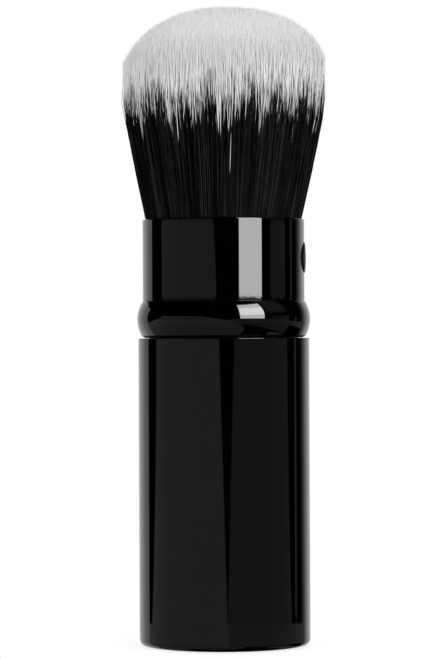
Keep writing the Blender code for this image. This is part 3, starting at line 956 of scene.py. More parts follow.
@dataclass
class CatchButton:
    """The nub that a cap clips on, with the rivet behind it that holds it to its leaf spring."""

    drop: float = 0.07 * MM
    dome: float = 0.12 * MM
    edge: float = 0.09 * MM
    rivet: float = 0.6 * MM
    rivet_head: float = 1.0 * MM
    rivet_head_height: float = 0.15 * MM
    rivet_edge: float = 0.03 * MM
    back: float = 12.5043 * MM
    leaf_stack: float = 0.4 * MM
    steps: int = 14
    sides: int = 96

    def build(self, material: bpy.types.Material) -> None:
        """Build the button and dress it.

        It is turned upright and then laid along X. Its crown is part of an ellipse over its radius.

        Args:
            material: the button's material.
        """
        low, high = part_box("catch_button")
        radius, centre = (high.z - low.z) / 2, (high.z + low.z) / 2
        share = np.linspace(0, 1, self.steps)[1:]
        face = high.x - self.drop
        crown = np.stack(
            [radius * np.sqrt(np.maximum(1 - share**2, 0)), face - self.dome * (1 - share)], 1
        )
        head_top = self.back - self.leaf_stack
        body = filleted(
            [
                (0, head_top - self.rivet_head_height, 0),
                (self.rivet_head, head_top - self.rivet_head_height, self.rivet_edge),
                (self.rivet_head, head_top, self.rivet_edge),
                (self.rivet, head_top, 0),
                (self.rivet, self.back, 0),
                (radius, self.back, self.edge),
                (radius, face - self.dome, 0),
                (0, face, 0),
            ],
            steps=4,
        )[:-1]
        piece = turned("button_cap", np.concatenate([body, crown]), self.sides)
        turn = Matrix.Rotation(math.pi / 2, 4, "Y")
        piece.data.transform(Matrix.Translation((0, 0, centre)) @ turn)
        fit_out(piece, Body.CATCH, Slot.BUTTON, material, "catch_button")


@dataclass
class LeafSpring:
    """The leaf behind the button, from its root in the sleeve's neck to its end behind the button."""

    bend_start: float = 0.3 * MM
    bend_end: float = 0.25 * MM
    bend_cuts: int = 7

    def build(self, material: bpy.types.Material) -> None:
        """Cut the CAD solid's leaf across where it bends, and dress it.

        Args:
            material: the spring's material.
        """
        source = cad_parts["catch_spring"]
        button_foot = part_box("catch_button")[0].z
        start, end = button_foot - self.bend_start, button_foot + self.bend_end
        shape = bmesh.new()
        shape.from_mesh(source.data)
        shape.transform(source.matrix_world)
        for height in np.linspace(start, end, self.bend_cuts):
            every = [*shape.verts, *shape.edges, *shape.faces]
            bmesh.ops.bisect_plane(shape, geom=every, plane_co=(0, 0, height), plane_no=(0, 0, 1))
        mesh = bpy.data.meshes.new("leaf_spring")
        shape.to_mesh(mesh)
        shape.free()
        piece = bpy.data.objects.new("leaf_spring", mesh)
        bpy.context.scene.collection.objects.link(piece)
        mesh.materials.append(material)
        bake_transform(piece)
        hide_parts("catch_spring")
        log.info("%s: %d faces, bends between the sleeve and the button", piece.name, len(mesh.polygons))


@dataclass
class GuideSkin:
    """The satin outside of the guide: the stretch that shows below the collar when the sleeve is up.

    Its flange lies under the collar's foot and closes the gap above the lower tube.
    """

    thickness: float = 0.03 * MM
    bore_gap: float = 0.15 * MM
    foot: float = 3.0 * MM
    flange: float = 0.24 * MM
    flange_step: float = 0.06 * MM
    flange_draft: float = 0.5 * MM
    edge: float = 0.02 * MM

    def build(self, material: bpy.types.Material) -> None:
        """Build the skin over the CAD guide, from its foot to the collar, and dress it.

        Args:
            material: the guide's material.
        """
        bush_bore = radius_of("stop_bush") - StopBush.liner_wall - StopBush.clearance - StopBush.wall
        guide = bush_bore - self.bore_gap
        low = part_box("guide_tube")[0].z + self.foot
        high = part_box("collar_ring")[0].z
        rim = radius_of("collar_ring") - Collar.foot_step - self.flange_step
        corners = [
            (guide - self.thickness, low, 0),
            (guide + self.thickness, low, self.edge),
            (guide + self.thickness, high - self.flange, 0),
            (rim - self.flange_draft, high - self.flange, self.edge),
            (rim, high, 0),
            (guide - self.thickness, high, 0),
        ]
        fit_out(turned("guide_skin", filleted(corners, steps=3)), Body.SLEEVE, Slot.INNER, material)


@dataclass(frozen=True)
class FibreMesh:
    """The arrays of a set of fibres: points, their shading normals, faces and the faces' UV maps."""

    points: np.ndarray
    normals: np.ndarray
    quads: np.ndarray
    triangles: np.ndarray
    quad_map: np.ndarray
    triangle_map: np.ndarray


@dataclass
class Tuft:
    """The bristle tuft: fine fibres that stand in the ferrule, splay and are cut to a dome.

    Their roots follow Vogel's spiral: fibre i stands at the share sqrt(i / count) of the radius and at
    i golden angles, which packs a disc evenly. A fibre's path keeps its share of the tuft's radius,
    which grows in a straight line and then settles, as in radius(height). A jitter, scatter, spread,
    bend or crimp is the standard deviation of a random number.
    """

    count: int = 60000
    seed: int = 11
    root_jitter: tuple[float, float] = (0.35, 0.6)
    share_limits: tuple[float, float] = (0.0005, 0.995)
    width: float = 0.094 * MM
    sectors: int = 16
    root_height: float = 1.6 * MM
    bore_clearance: float = 0.06 * MM
    rim_bulge: float = 0.07 * MM
    rim_bulge_length: float = 1.2 * MM
    ferrule_inset: float = 0.45 * MM
    top_drop: float = 0.36 * MM
    top_reach: float = 0.3 * MM
    waist: float = 0.45 * MM
    waist_length: float = 5.0 * MM
    straight_to: float = 84.4 * MM
    settle_length: float = 3.1 * MM
    dome_foot: float = 94.2 * MM
    dome_power: float = 2.1
    lean: float = 0.72 * MM
    sway: float = 0.26 * MM
    sway_power: float = 0.35
    lean_azimuth: float = 5.4
    long_share: float = 0.78
    core_share: float = 0.66
    core_depth: float = 4.0 * MM
    core_crown_steps: int = 20
    core_side_steps: int = 40
    core_sides: int = 96
    short_length: float = 11.0 * MM
    long_rings: tuple[float, ...] = (0.0, 0.32, 0.5, 0.62, 0.72, 0.81, 0.9, 0.96, 1.0)
    short_rings: tuple[float, ...] = (0.0, 0.5, 0.86, 1.0)
    width_range: tuple[float, float] = (0.82, 1.12)
    taper_from: float = 0.55
    taper_share: float = 0.93
    tip_scatter: float = 0.16 * MM
    tip_tilt: float = 0.5
    lock_bend: float = 0.24 * MM
    lock_tip: float = 0.06 * MM
    own_bend: tuple[float, float] = (0.6 * MM, 1.15 * MM)
    bend_power: float = 1.6
    bend_when_cut: float = 0.85
    bend_limit: float = 0.008
    crimp: float = 0.07 * MM
    volume_shading: float = 0.77
    least_upward: float = 0.12
    clump_rings: int = 25
    clump_turn: float = 0.37
    dye_height: float = 89.3 * MM
    dye_spread: float = 2.2 * MM
    lock_dye_spread: float = 0.8 * MM
    dye_lean: float = 0.7
    dye_drift: tuple[tuple[float, int, float], ...] = (
        (0.6, 2, 0.6), (0.5, 3, -1.1), (0.5, 11, 2.0), (0.45, 19, 0.7),
    )
    low_dye_share: float = 0.045
    low_dye_drop: float = 2.4 * MM
    low_dye_most: float = 9.0 * MM
    stray_from: float = 0.95
    stray_share: float = 0.07
    stray_range: tuple[float, float] = (0.4, 1.0)
    stray_reach: float = 0.42 * MM
    stray_height: float = 88.4 * MM
    stray_length: float = 3.4 * MM
    dye_low: float = 70.0 * MM
    dye_high: float = 98.0 * MM
    map_margin: float = 0.002
    map_step: float = 0.25
    core_map_reach: float = 0.2
    keep_when_covered: float = 0.64

    def __post_init__(self) -> None:
        """Read the places that the CAD model settles."""
        self.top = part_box("bristle_tuft")[1].z - self.top_drop
        self.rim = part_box("upper_sleeve")[1].z
        self.ferrule_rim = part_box("ferrule")[1].z
        self.root = self.ferrule_rim - self.root_height
        self.rim_radius = radius_of("upper_sleeve") - UpperSleeve.wall - self.bore_clearance
        self.root_radius = radius_of("ferrule") - self.ferrule_inset
        self.slope = (self.rim_radius - self.root_radius) / (self.rim - self.ferrule_rim)
        self.random = np.random.default_rng(self.seed)

    def radius(self, height: np.ndarray) -> np.ndarray:
        """Work out the tuft's radius: a straight splay to a height, then an exponential settling.

        At the roots it is drawn in by a bell curve, which leaves room for the pressed button's rivet.
        Past the sleeve's rim it swells by a small bulge, which settles exponentially too.

        Args:
            height: heights of any shape.

        Returns:
            The radius at each of them.
        """
        straight = self.root_radius + self.slope * (np.minimum(height, self.straight_to) - self.ferrule_rim)
        over = np.maximum(height - self.straight_to, 0)
        settled = self.slope * self.settle_length * (1 - np.exp(-over / self.settle_length))
        past_rim = np.maximum(height - self.rim, 0)
        straight = straight - self.waist * np.exp(-(((height - self.root) / self.waist_length) ** 2))
        return straight + settled + self.rim_bulge * (1 - np.exp(-past_rim / self.rim_bulge_length))

    def dome(self, share: np.ndarray, angle: np.ndarray) -> np.ndarray:
        """Work out the cut: a superellipse over the share, leaning a little to one side.

        Args:
            share: shares of the tuft's radius.
            angle: the angle at each of them.

        Returns:
            The height of the cut at each of them.
        """
        rise = (self.top - self.dome_foot) * np.sqrt(np.maximum(1 - share**self.dome_power, 0))
        side = np.cos(angle - math.radians(self.lean_azimuth))
        return self.dome_foot + rise + self.lean * side * share**2

    def clumps(self, share: np.ndarray, angle: np.ndarray) -> np.ndarray:
        """Sort fibres into locks.

        The locks are cells of like size. Ring r has 6 r + 1 of them, the rings inside it have
        3 r (r - 1) + r, and each ring is turned a little further than the one inside it.

        Args:
            share: each fibre's share of the tuft's radius.
            angle: each fibre's angle.

        Returns:
            The number of each fibre's lock.
        """
        ring = np.floor(share * self.clump_rings).astype(int)
        cells = 6 * ring + 1
        step = np.floor((angle / math.tau + self.clump_turn * ring) % 1 * cells).astype(int)
        return 3 * ring * (ring - 1) + ring + step + 1

    def build(self, material: bpy.types.Material, finish: FibreFinish) -> None:
        """Build the core and the fibres, sector by sector, and dress them.

        Args:
            material: the fibre's material.
            finish: the finish that says how the UV map is read.
        """
        fibres = self._draw()
        sector = np.floor(fibres["angle"] / math.tau * self.sectors).astype(int) % self.sectors
        self._core(material, finish)
        for index in range(self.sectors):
            self._sector(index, fibres, sector == index, material, finish)

    def _draw(self) -> dict[str, np.ndarray]:
        """Draw what sets each fibre apart.

        A fibre is cut where its bend has taken it, and so its tip lies under the dome there.

        Returns:
            One row for each fibre: its share of the radius, angle, bend outwards and aside, height of
            its tip and of the end of its dye, width, twist and how far it strays.
        """
        number = np.arange(self.count) + 0.5
        spacing = 1 / math.sqrt(self.count)
        jitter, turn_jitter = (part * spacing for part in self.root_jitter)
        share = np.sqrt(number / self.count) + self.random.normal(0, jitter, self.count)
        share = np.clip(share, *self.share_limits)
        golden = math.pi * (3 - math.sqrt(5))
        angle = number * golden + self.random.normal(0, turn_jitter, self.count) / share
        angle = angle % math.tau
        lock = self.clumps(share, angle)
        locks = int(lock.max()) + 1
        lock_bend = self.random.normal(0, self.lock_bend, (locks, 2))
        lock_dye = self.random.normal(0, self.lock_dye_spread, locks)
        lock_tip = self.random.normal(0, self.lock_tip, locks)
        bend = lock_bend[lock] + self.random.normal(0, self.own_bend, (self.count, 2))
        wide = self.radius(np.array(self.dome_foot))
        out = share + self.bend_when_cut * bend[:, 0] / wide
        aside = self.bend_when_cut * bend[:, 1] / wide
        cut_share = np.hypot(out, aside)
        cut_share = np.where(cut_share > 1, 2 - cut_share, cut_share)
        cut_angle = angle + np.arctan2(aside, out)
        scatter = self.random.normal(0, self.tip_scatter, self.count) + lock_tip[lock]
        tip = np.minimum(self.dome(cut_share, cut_angle) + scatter, self.top + self.top_reach)
        dye = self._dye_heights(angle) + lock_dye[lock]
        width = self.width * self.random.uniform(*self.width_range, self.count)
        twist = self.random.uniform(0, math.tau, self.count)
        strays = (share > self.stray_from) & (self.random.random(self.count) < self.stray_share)
        stray = np.where(strays, self.random.uniform(*self.stray_range, self.count), 0.0)
        return {
            "share": share, "angle": angle, "bend": bend, "tip": tip, "dye": dye, "width": width,
            "twist": twist, "stray": stray,
        }

    def _dye_heights(self, angle: np.ndarray) -> np.ndarray:
        """Draw how far up each fibre is dyed: a level that drifts round the tuft, with a few far lower.

        The drift is a lean to one side and a sum of sines. Each has its height in millimetres, its
        number of waves round the tuft and its shift.

        Args:
            angle: each fibre's angle.

        Returns:
            The height at which each fibre's dye ends.
        """
        drift = self.dye_lean * np.cos(angle - math.radians(self.lean_azimuth))
        for height, waves, shift in self.dye_drift:
            drift = drift + height * np.sin(waves * angle + shift)
        own = self.random.normal(0, self.dye_spread, self.count)
        low_ones = self.random.random(self.count) < self.low_dye_share
        drops = np.minimum(self.random.exponential(self.low_dye_drop, self.count), self.low_dye_most)
        return self.dye_height + drift * MM + own - np.where(low_ones, drops, 0)

    def _paths(self, fibres: dict[str, np.ndarray], chosen: np.ndarray, heights: np.ndarray) -> np.ndarray:
        """Lay out the middle of each fibre at its heights.

        A fibre keeps its share of the tuft's radius, and bends aside as a power of how far it has come
        from the sleeve's rim to the tuft's top. Each ring is pushed aside at random by a crimp, and the
        whole tuft sways a little to one side. A bend that would leave the tuft is turned back.

        Args:
            fibres: the arrays of every fibre.
            chosen: numbers of the fibres to lay out.
            heights: one row of heights for each of them.

        Returns:
            One row of places for each of them.
        """
        share, angle = fibres["share"][chosen][:, None], fibres["angle"][chosen][:, None]
        reach = np.clip((heights - self.rim) / (self.top - self.rim), 0, 1) ** self.bend_power
        bend = fibres["bend"][chosen]
        push = self.random.normal(0, self.crimp, (2, *heights.shape)) * np.sqrt(reach)
        outward = bend[:, :1] * reach + push[0]
        aside = bend[:, 1:] * reach + push[1]
        radius = self.radius(heights)
        far = share * radius + outward
        limit = radius * (1 + self.bend_limit * reach)
        far = np.where(far > limit, 2 * limit - far, far)
        bow = np.exp(-(((heights - self.stray_height) / self.stray_length) ** 2))
        far = far + self.stray_reach * fibres["stray"][chosen][:, None] * bow
        sway = self.sway * reach**self.sway_power
        side = math.radians(self.lean_azimuth)
        x = far * np.cos(angle) - aside * np.sin(angle) + sway * math.cos(side)
        y = far * np.sin(angle) + aside * np.cos(angle) + sway * math.sin(side)
        return np.stack([x, y, heights], -1)

    def _sector(
        self,
        index: int,
        fibres: dict[str, np.ndarray],
        inside: np.ndarray,
        material: bpy.types.Material,
        finish: FibreFinish,
    ) -> None:
        """Build one sector's fibres as a piece.

        Args:
            index: the sector's number.
            fibres: the arrays of every fibre.
            inside: which fibres stand in this sector.
            material: the fibre's material.
            finish: the finish that says how the UV map is read.
        """
        long_ones = fibres["share"] > self.long_share
        long_numbers = np.flatnonzero(inside & long_ones)
        short_numbers = np.flatnonzero(inside & ~long_ones)
        long_mesh = self._fibre_mesh(fibres, long_numbers, self.root, self.long_rings, finish)
        short_foot = fibres["tip"][short_numbers][:, None] - self.short_length
        short_mesh = self._fibre_mesh(fibres, short_numbers, short_foot, self.short_rings, finish)
        starts = (0, len(long_mesh.points))
        both = (long_mesh, short_mesh)
        places = np.concatenate([mesh.quad_map for mesh in both] + [mesh.triangle_map for mesh in both])
        piece = mesh_piece(
            f"bristles_{index + 1:02d}",
            np.concatenate([mesh.points for mesh in both]),
            np.concatenate([mesh.quads + start for mesh, start in zip(both, starts)]),
            np.concatenate([mesh.triangles + start for mesh, start in zip(both, starts)]),
            {finish.map_name: places, BAKE_MAP: places},
        )
        piece.data.uv_layers[finish.map_name].active_render = True
        normals = np.concatenate([mesh.normals for mesh in both])
        piece.data.normals_split_custom_set_from_vertices(normals)
        fit_out(piece, Body.HANDLE, Slot.BRISTLE, material, "bristle_tuft")
        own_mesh(piece)

    def _fibre_mesh(
        self,
        fibres: dict[str, np.ndarray],
        chosen: np.ndarray,
        foot: float | np.ndarray,
        rings_at: Sequence[float],
        finish: FibreFinish,
    ) -> FibreMesh:
        """Work out three-sided fibres.

        Ring j of a fibre is a triangle round its path at a share of its height, and its size falls as
        the square root of 1 less the square of the way through its last part. It ends in one point.

        Args:
            fibres: the arrays of every fibre.
            chosen: numbers of the fibres to make.
            foot: the height at which they start, one for all or a column with one for each.
            rings_at: heights of the rings, and last the tip, as shares of the fibre's height.
            finish: the finish that says how the UV map is read.

        Returns:
            The fibres' arrays.
        """
        shares = np.array(rings_at)
        tip = fibres["tip"][chosen][:, None]
        heights = foot + (tip - foot) * shares
        paths = self._paths(fibres, chosen, heights)
        through = np.clip((shares - self.taper_from) / (1 - self.taper_from), 0, 1)
        taper = np.sqrt(1 - (through * self.taper_share) ** 2)
        size = fibres["width"][chosen][:, None] / 2 * taper[:-1]
        turn = fibres["twist"][chosen][:, None] + math.tau * np.arange(3) / 3
        across = np.stack([np.cos(turn), np.sin(turn), np.zeros_like(turn)], -1)
        rings = paths[:, :-1, None, :] + size[:, :, None, None] * across[:, None]
        count, levels = rings.shape[:2]
        per_fibre = 3 * levels + 1
        points = np.concatenate([rings.reshape(count, -1, 3), paths[:, -1:]], 1)
        normals = self._shading(fibres, chosen, across, levels)
        pattern, sides = self._pattern(levels)
        last = 3 * (levels - 1)
        caps = np.array([[2, 1, 0]] + [[last + k, last + (k + 1) % 3, last + 3] for k in range(3)])
        cap_sides = np.array([[2, 1, 0]] + [[k, k + 1, k + 0.5] for k in range(3)], float)
        offset = (np.arange(count) * per_fibre)[:, None, None]
        quads = (pattern[None] + offset).reshape(-1, 4)
        triangles = (caps[None] + offset).reshape(-1, 3)
        dyed_to = np.clip(self._dye_share(fibres["dye"][chosen]), self.map_margin, 1 - self.map_margin)
        column = finish.column_of(dyed_to)
        up = self._dye_share(points[..., 2])
        maps = []
        for faces, places in ((pattern, sides), (caps, cap_sides)):
            u = column[:, None, None] + (places[None] - 1.5) * self.map_step / finish.columns
            v = up[:, faces]
            maps.append(np.stack([np.broadcast_to(u, v.shape), v], -1).reshape(-1, 2))
        return FibreMesh(points.reshape(-1, 3), normals, quads, triangles, *maps)

    def _dye_share(self, height: float | np.ndarray) -> float | np.ndarray:
        """Return how far up the stretch in which dye ends a height lies, as the UV map counts it."""
        return (height - self.dye_low) / (self.dye_high - self.dye_low)

    def _shading(
        self, fibres: dict[str, np.ndarray], chosen: np.ndarray, across: np.ndarray, levels: int
    ) -> np.ndarray:
        """Work out shading normals that lie between a fibre's own and those of the tuft as a whole.

        The tuft's normal goes from up, at its middle, to outwards, at its side. So the fibres together
        take the light as the soft mass that they form. Each tip's normal is tilted its own way.

        Args:
            fibres: the arrays of every fibre.
            chosen: numbers of the fibres to shade.
            across: for each of them, the directions of its three edges.
            levels: how many rings a fibre has.

        Returns:
            One unit normal for each point, in the points' order.
        """
        share, angle = fibres["share"][chosen], fibres["angle"][chosen]
        upward = self.least_upward + (1 - self.least_upward) * (1 - share**3)
        mass = np.stack([share**2 * np.cos(angle), share**2 * np.sin(angle), upward], 1)
        mass /= np.linalg.norm(mass, axis=1, keepdims=True)
        mixed = self.volume_shading * mass[:, None] + (1 - self.volume_shading) * across
        tips = mass + self.tip_tilt * across[:, 0]
        every = np.concatenate([np.tile(mixed, (1, levels, 1)), tips[:, None]], 1).reshape(-1, 3)
        return every / np.linalg.norm(every, axis=1, keepdims=True)

    @staticmethod
    def _pattern(levels: int) -> tuple[np.ndarray, np.ndarray]:
        """Number one fibre's corners.

        Args:
            levels: how many rings it has.

        Returns:
            Its quads, and how far round the fibre each of their corners lies.
        """
        level, side = np.meshgrid(np.arange(levels - 1), np.arange(3), indexing="ij")
        level, side = level.ravel(), side.ravel()
        after = (side + 1) % 3
        low, high = 3 * level, 3 * (level + 1)
        quads = np.stack([low + side, low + after, high + after, high + side], 1)
        return quads, np.stack([side, side + 1, side + 1, side], 1).astype(float)

    def _core(self, material: bpy.types.Material, finish: FibreFinish) -> None:
        """Build the close-packed middle of the tuft, which lies under the fibres' tips.

        Its radius is a share of the tuft's, and its top lies a depth below the dome.

        Args:
            material: the fibre's material.
            finish: the finish that says how the UV map is read.
        """
        share = np.linspace(self.core_share, 0, self.core_crown_steps)
        level_side = np.full(len(share), math.radians(self.lean_azimuth + 90))
        crown_height = self.dome(share, level_side) - self.core_depth
        crown_radius = share * self.radius(crown_height[0])
        heights = np.linspace(self.root, crown_height[0], self.core_side_steps)
        side = np.stack([self.core_share * self.radius(heights), heights], 1)
        outline = np.concatenate([[[0, self.root]], side, np.stack([crown_radius, crown_height], 1)[1:]])
        piece = turned("bristle_core", outline, self.core_sides)
        mesh = piece.data
        places = np.zeros(len(mesh.vertices) * 3, np.float32)
        mesh.vertices.foreach_get("co", places)
        corners = np.zeros(len(mesh.loops), np.int32)
        mesh.loops.foreach_get("vertex_index", corners)
        up = self._dye_share(places.reshape(-1, 3)[corners, 2])
        column = finish.column_of(self._dye_share(self.dye_height))
        aside = np.array([-1, 1, 1, -1]) * self.core_map_reach
        turn = np.tile(aside, len(corners) // 4 + 1)[: len(corners)] / finish.columns
        values = np.stack([column + turn, up], 1).astype(np.float32)
        for title in (finish.map_name, BAKE_MAP):
            mesh.uv_layers.new(name=title).data.foreach_set("uv", values.ravel())
        mesh.uv_layers[finish.map_name].active_render = True
        fit_out(piece, Body.HANDLE, Slot.BRISTLE, material, "bristle_tuft")


class Paints:
    """The materials of the finishes, each built once, when a piece first asks for it."""

    def __init__(self) -> None:
        """Build the shared effects."""
        self.effects = Effects()
        self.made: dict[str, bpy.types.Material] = {}

    def of(self, finish: Finish) -> bpy.types.Material:
        """Find or build a finish's material.

        Args:
            finish: the finish.

        Returns:
            Its one material.
        """
        if finish.title not in self.made:
            self.made[finish.title] = finish.material(self.effects)
        return self.made[finish.title]


@dataclass
class InnerParts:
    """The CAD nodes inside, which keep their shape and get their finish."""

    finishes: dict[str, Finish]

    def dress(self, paints: Paints) -> None:
        """Give each node its material.

        Args:
            paints: the finishes' materials.
        """
        for node, finish in self.finishes.items():
            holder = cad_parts[node]
            holder.data.materials.clear()
            holder.data.materials.append(paints.of(finish))
            log.info("%s: CAD solid in %s", node, finish.title)


@dataclass(frozen=True)
class Panel:
    """A soft panel of the studio, seen from the brush: a window of azimuth and elevation.

    Azimuth is measured from the camera, to the right. Each side edge is a + b e + c e^2 at elevation e,
    and each level edge is a + b z at azimuth z. A product of smooth steps, sharpened, rounds the corners.
    """

    title: str
    radiance: float
    left: tuple[float, float, float]
    right: tuple[float, float, float]
    low: tuple[float, float]
    high: tuple[float, float]
    soft_side: float = 0.8
    soft_level: float = 0.12
    crispness: float = 0.15

    def mask(
        self, sheet: NodeSheet, azimuth: Socket, elevation: Socket
    ) -> Socket:
        """Work out the panel's share at a direction, from 0 outside to 1 inside.

        Args:
            sheet: the world's node tree.
            azimuth: the direction's azimuth from the camera.
            elevation: its elevation.

        Returns:
            The share's socket.
        """
        left = self._edge(sheet, elevation, self.left)
        right = self._edge(sheet, elevation, self.right)
        low = self._edge(sheet, azimuth, (*self.low, 0.0))
        high = self._edge(sheet, azimuth, (*self.high, 0.0))
        product = None
        for first, second, soft in (
            (azimuth, left, self.soft_side),
            (right, azimuth, self.soft_side),
            (elevation, low, self.soft_level),
            (high, elevation, self.soft_level),
        ):
            step = sheet.ramp(sheet.maths("SUBTRACT", first, second), -soft, soft)
            product = step if product is None else sheet.maths("MULTIPLY", product, step)
        return sheet.ramp(product, 0.5 - self.crispness, 0.5 + self.crispness)

    @staticmethod
    def _edge(
        sheet: NodeSheet, along: Socket, terms: tuple[float, float, float]
    ) -> Socket:
        """Return a + b x + c x^2."""
        line = sheet.maths("MULTIPLY_ADD", along, terms[2], terms[1])
        return sheet.maths("MULTIPLY_ADD", along, line, terms[0])


@dataclass(frozen=True)
class Lamp:
    """A broad sun: where it stands, seen from the brush, its strength and how many degrees it spans."""

    title: str
    azimuth: float
    elevation: float
    strength: float
    spread: float


@dataclass
class Studio:
    """The camera, the panels that the gloss mirrors, the soft lamps and the pale floor."""

    azimuth: float = 5.4
    distance: float = 0.5398
    eye_height: float = 51.6 * MM
    aim_left: float = 0.7 * MM
    roll: float = -0.25
    lens: float = 180.0
    clip: tuple[float, float] = (0.01, 10.0)
    floor_radius: float = 62 * MM
    floor_clear_radius: float = 22 * MM
    floor_fade_radius: float = 59.52 * MM
    floor_thickness: float = 0.2 * MM
    floor_drop: float = 0.05 * MM
    floor_rings: int = 11
    floor_sides: int = 96
    floor_cover: float = 0.12
    floor_mottle: float = 400.0
    floor_shades: tuple[float, float] = (0.93, 0.9)
    ambient: float = 0.83

    panels: tuple[Panel, ...] = (
        Panel("key softbox foot", 10.4, (21.8, 0, 0), (55.5, 0.085, 0), (0.56, 0), (9.0, 0), 0.6, 0.03),
        Panel("key softbox", 16.0, (21.8, 0, 0), (55.5, 0.085, 0), (9.0, 0), (40.0, 0), 0.6, 12.0, 0.5),
        Panel("key softbox head", 10.4, (21.8, 0, 0), (55.5, 0.085, 0), (30.0, 0), (46.2, 0), 0.6, 1.0),
        Panel("far left card", 0.24, (-98.5, 0, 0), (-8.2, -3.0, 0), (0.535, 0), (1.925, 0), 6.0, 0.1),
        Panel("far left card head", 0.26, (-92.0, 0, 0), (-8.0, -2.3, 0), (2.05, 0), (8.6, 0), 7.0, 1.5),
        Panel("far right card", 0.16, (70.0, 0, 0), (97.7, 0, 0), (0.535, 0), (1.9, 0), 4.0, 0.1),
        Panel("far right card head", 0.12, (66.0, 0, 0), (98.0, 0, 0), (2.0, 0), (8.0, 0), 5.0, 1.5),
        Panel("far right top card", 0.16, (62.0, 0, 0), (96.0, 0, 0), (18.0, 0), (60.0, 0), 8.0, 10.0, 0.5),
        Panel("right slit", 0.2, (109.5, 0, 0), (113.5, 0, 0), (-5.0, 0), (3.0, 0), 0.8, 0.3),
        Panel(
            "left sweep", 0.3, (-103.0, 0, -0.47), (-7.0, -2.12, -0.03), (-14.0, 0), (-0.04, 0), 6.0, 0.04
        ),
        Panel("left table", 0.23, (-150.0, 0, 0), (-7.0, -2.12, -0.03), (-62.0, 0), (-12.0, 0), 6.0, 6.0),
        Panel("right sweep", 0.16, (14.1, 2.1, 0), (94.3, 0, 0.28), (-12.0, 0), (-0.04, 0), 6.0, 0.04),
        Panel("right table", 0.13, (16.0, 0, 0), (100.0, 0, 0), (-14.0, -0.2), (-8.0, 0), 5.0, 1.5),
        Panel("right table end", 0.27, (72.0, 0, 0), (140.0, 0, 0), (-50.0, 0), (-33.5, 0), 4.0, 1.5),
        Panel("left table front", 0.27, (-128.0, 0, 0), (6.0, 0, 0), (-14.0, 0), (-5.1, 0), 3.0, 0.15),
        Panel("right table front", 0.19, (2.0, 0, 0), (138.0, 0, 0), (-14.0, 0), (-5.1, 0), 3.0, 0.15),
        Panel("left backdrop", 0.86, (-200.0, 0, 0), (-132.0, 0, 0), (-38.0, 0), (19.0, 0), 12.0, 3.0, 0.5),
        Panel("left backdrop edge", 0.67, (-160.0, 0, 0), (-122.8, 0, 0), (-38.0, 0), (18.0, 0), 1.0, 3.0),
        Panel(
            "right backdrop", 0.86, (136.5, 0, 0.02), (200.0, 0, 0), (-38.0, 0), (40.0, 0), 20.0, 5.0, 0.5
        ),
    )

    lamps: tuple[Lamp, ...] = (
        Lamp("left fill", -50.0, 24.0, 1.0, 70.0),
        Lamp("right fill", 45.0, 24.0, 1.36, 60.0),
        Lamp("top fill", 0.0, 86.0, 0.6, 80.0),
        Lamp("back fill", 165.0, 30.0, 0.9, 80.0),
    )

    def build(self) -> None:
        """Build the camera, the world, the lamps and the floor."""
        self._camera()
        self._world()
        self._lamps()
        self._floor()
        bpy.context.scene.view_settings.view_transform = "Standard"

    def _towards(self, azimuth: float, elevation: float) -> Vector:
        """Return the direction to a place in the studio. Azimuth is measured from the camera."""
        turn, lift = math.radians(self.azimuth + azimuth), math.radians(elevation)
        return Vector((math.sin(turn) * math.cos(lift), -math.cos(turn) * math.cos(lift), math.sin(lift)))

    def _camera(self) -> None:
        """Set the camera level with the collar, with the frame's long side upright."""
        data = bpy.data.cameras.new("camera")
        data.lens = self.lens
        data.clip_start, data.clip_end = self.clip
        camera = bpy.data.objects.new("camera", data)
        bpy.context.scene.collection.objects.link(camera)
        back = self._towards(0, 0)
        left = -self._towards(90, 0)
        camera.location = back * self.distance + left * self.aim_left + Vector((0, 0, self.eye_height))
        camera.rotation_mode = "QUATERNION"
        upright = (-back).to_track_quat("-Z", "Y")
        camera.rotation_quaternion = upright @ Quaternion((0, 0, 1), math.radians(self.roll))
        bpy.context.scene.camera = camera

    def _world(self) -> None:
        """Paint the studio round the brush: panels for the gloss, even light, and a white ground."""
        world = bpy.data.worlds.new("studio")
        world.use_nodes = True
        world.node_tree.nodes.clear()
        sheet = NodeSheet(world.node_tree)
        way = sheet.add("ShaderNodeTexCoord").outputs["Generated"]
        parts = []
        for axis in (self._towards(90, 0), self._towards(0, 0), Vector((0, 0, 1))):
            dot = sheet.add("ShaderNodeVectorMath", {0: way, 1: tuple(axis)}, operation="DOT_PRODUCT")
            parts.append(dot.outputs["Value"])
        azimuth = sheet.maths("DEGREES", sheet.maths("ARCTAN2", parts[0], parts[1]))
        elevation = sheet.maths("DEGREES", sheet.maths("ARCSINE", parts[2]))
        total = 0.0
        for panel in self.panels:
            light = sheet.maths("MULTIPLY", panel.mask(sheet, azimuth, elevation), panel.radiance)
            total = sheet.maths("MAXIMUM", total, light)
        rays = sheet.add("ShaderNodeLightPath").outputs
        seen = sheet.maths("MAXIMUM", rays["Is Camera Ray"], rays["Is Transmission Ray"])
        mirrored = sheet.add("ShaderNodeMix", data_type="FLOAT")
        for number, value in ((0, rays["Is Glossy Ray"]), (2, self.ambient), (3, total)):
            sheet.put(mirrored.inputs[number], value)
        unseen = sheet.maths("MULTIPLY", mirrored.outputs[0], sheet.maths("SUBTRACT", 1.0, seen))
        strength = sheet.maths("ADD", unseen, seen)
        ground = sheet.add("ShaderNodeBackground", {"Color": (1, 1, 1, 1), "Strength": strength})
        sheet.add("ShaderNodeOutputWorld", {"Surface": ground.outputs[0]})
        bpy.context.scene.world = world

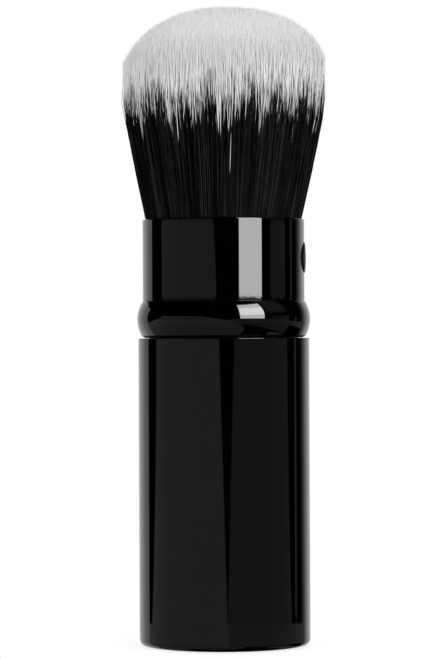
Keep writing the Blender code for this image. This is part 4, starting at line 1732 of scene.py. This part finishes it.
    def _lamps(self) -> None:
        """Add the broad soft lamps that even out the light, and that the gloss doesn't mirror."""
        for lamp in self.lamps:
            data = bpy.data.lights.new(lamp.title, "SUN")
            data.energy = lamp.strength
            data.angle = math.radians(lamp.spread)
            holder = bpy.data.objects.new(lamp.title, data)
            bpy.context.scene.collection.objects.link(holder)
            holder.rotation_mode = "QUATERNION"
            towards = self._towards(lamp.azimuth, lamp.elevation)
            holder.rotation_quaternion = towards.to_track_quat("Z", "Y")
            holder.visible_glossy = False

    def _floor(self) -> None:
        """Lay a pale disc under the brush that fades into the white ground at its edge."""
        rings = np.linspace(0, self.floor_radius, self.floor_rings + 1)
        radii = np.concatenate([rings, rings[::-1]])
        heights = np.repeat([0.0, -self.floor_thickness], len(rings)) - self.floor_drop
        floor = turned("floor", np.stack([radii, heights], 1)[::-1], self.floor_sides)
        made = bpy.data.materials.new("pale floor")
        made.use_nodes = True
        made.node_tree.nodes.clear()
        sheet = NodeSheet(made.node_tree)
        place = sheet.add("ShaderNodeTexCoord").outputs["Object"]
        away = sheet.add("ShaderNodeVectorMath", {0: place}, operation="LENGTH").outputs["Value"]
        solid = sheet.ramp(away, self.floor_clear_radius, self.floor_fade_radius, self.floor_cover, 0.0)
        mottle = sheet.noise(place, self.floor_mottle, detail=3.0)
        colour = sheet.blend(mottle, *((shade, shade, shade, 1) for shade in self.floor_shades))
        paper = sheet.add("ShaderNodeBsdfDiffuse", {"Color": colour})
        clear = sheet.add("ShaderNodeBsdfTransparent")
        mix = sheet.add("ShaderNodeMixShader", {0: solid, 1: clear.outputs[0], 2: paper.outputs[0]})
        sheet.add("ShaderNodeOutputMaterial", {"Surface": mix.outputs[0]})
        floor.data.materials.append(made)
        floor.visible_glossy = False


def main() -> None:
    """Build the studio and dress the brush, piece by piece."""
    logging.basicConfig(level=logging.INFO, format="%(name)s: %(message)s")
    Studio().build()
    paints = Paints()
    LowerTube().build(paints.of(LACQUER))
    StopBush().build(paints.of(LINER_PLASTIC))
    GuideSkin().build(paints.of(GUIDE_PLASTIC))
    Collar().build(paints.of(LACQUER))
    UpperSleeve().build(paints.of(LACQUER))
    CatchButton().build(paints.of(BUTTON_PLASTIC))
    LeafSpring().build(paints.of(STEEL))
    fibre = FibreFinish()
    Tuft().build(fibre.material(), fibre)
    inner = {
        "liner_cup": LINER_PLASTIC,
        "guide_tube": GUIDE_PLASTIC,
        "friction_ring": RUBBER,
        "pedestal": POST_PLASTIC,
        "pedestal_screw": STEEL,
        "ferrule": ALUMINIUM,
        "resin_plug": RESIN,
    }
    InnerParts(inner).dress(paints)


if __name__ == "__main__":
    main()
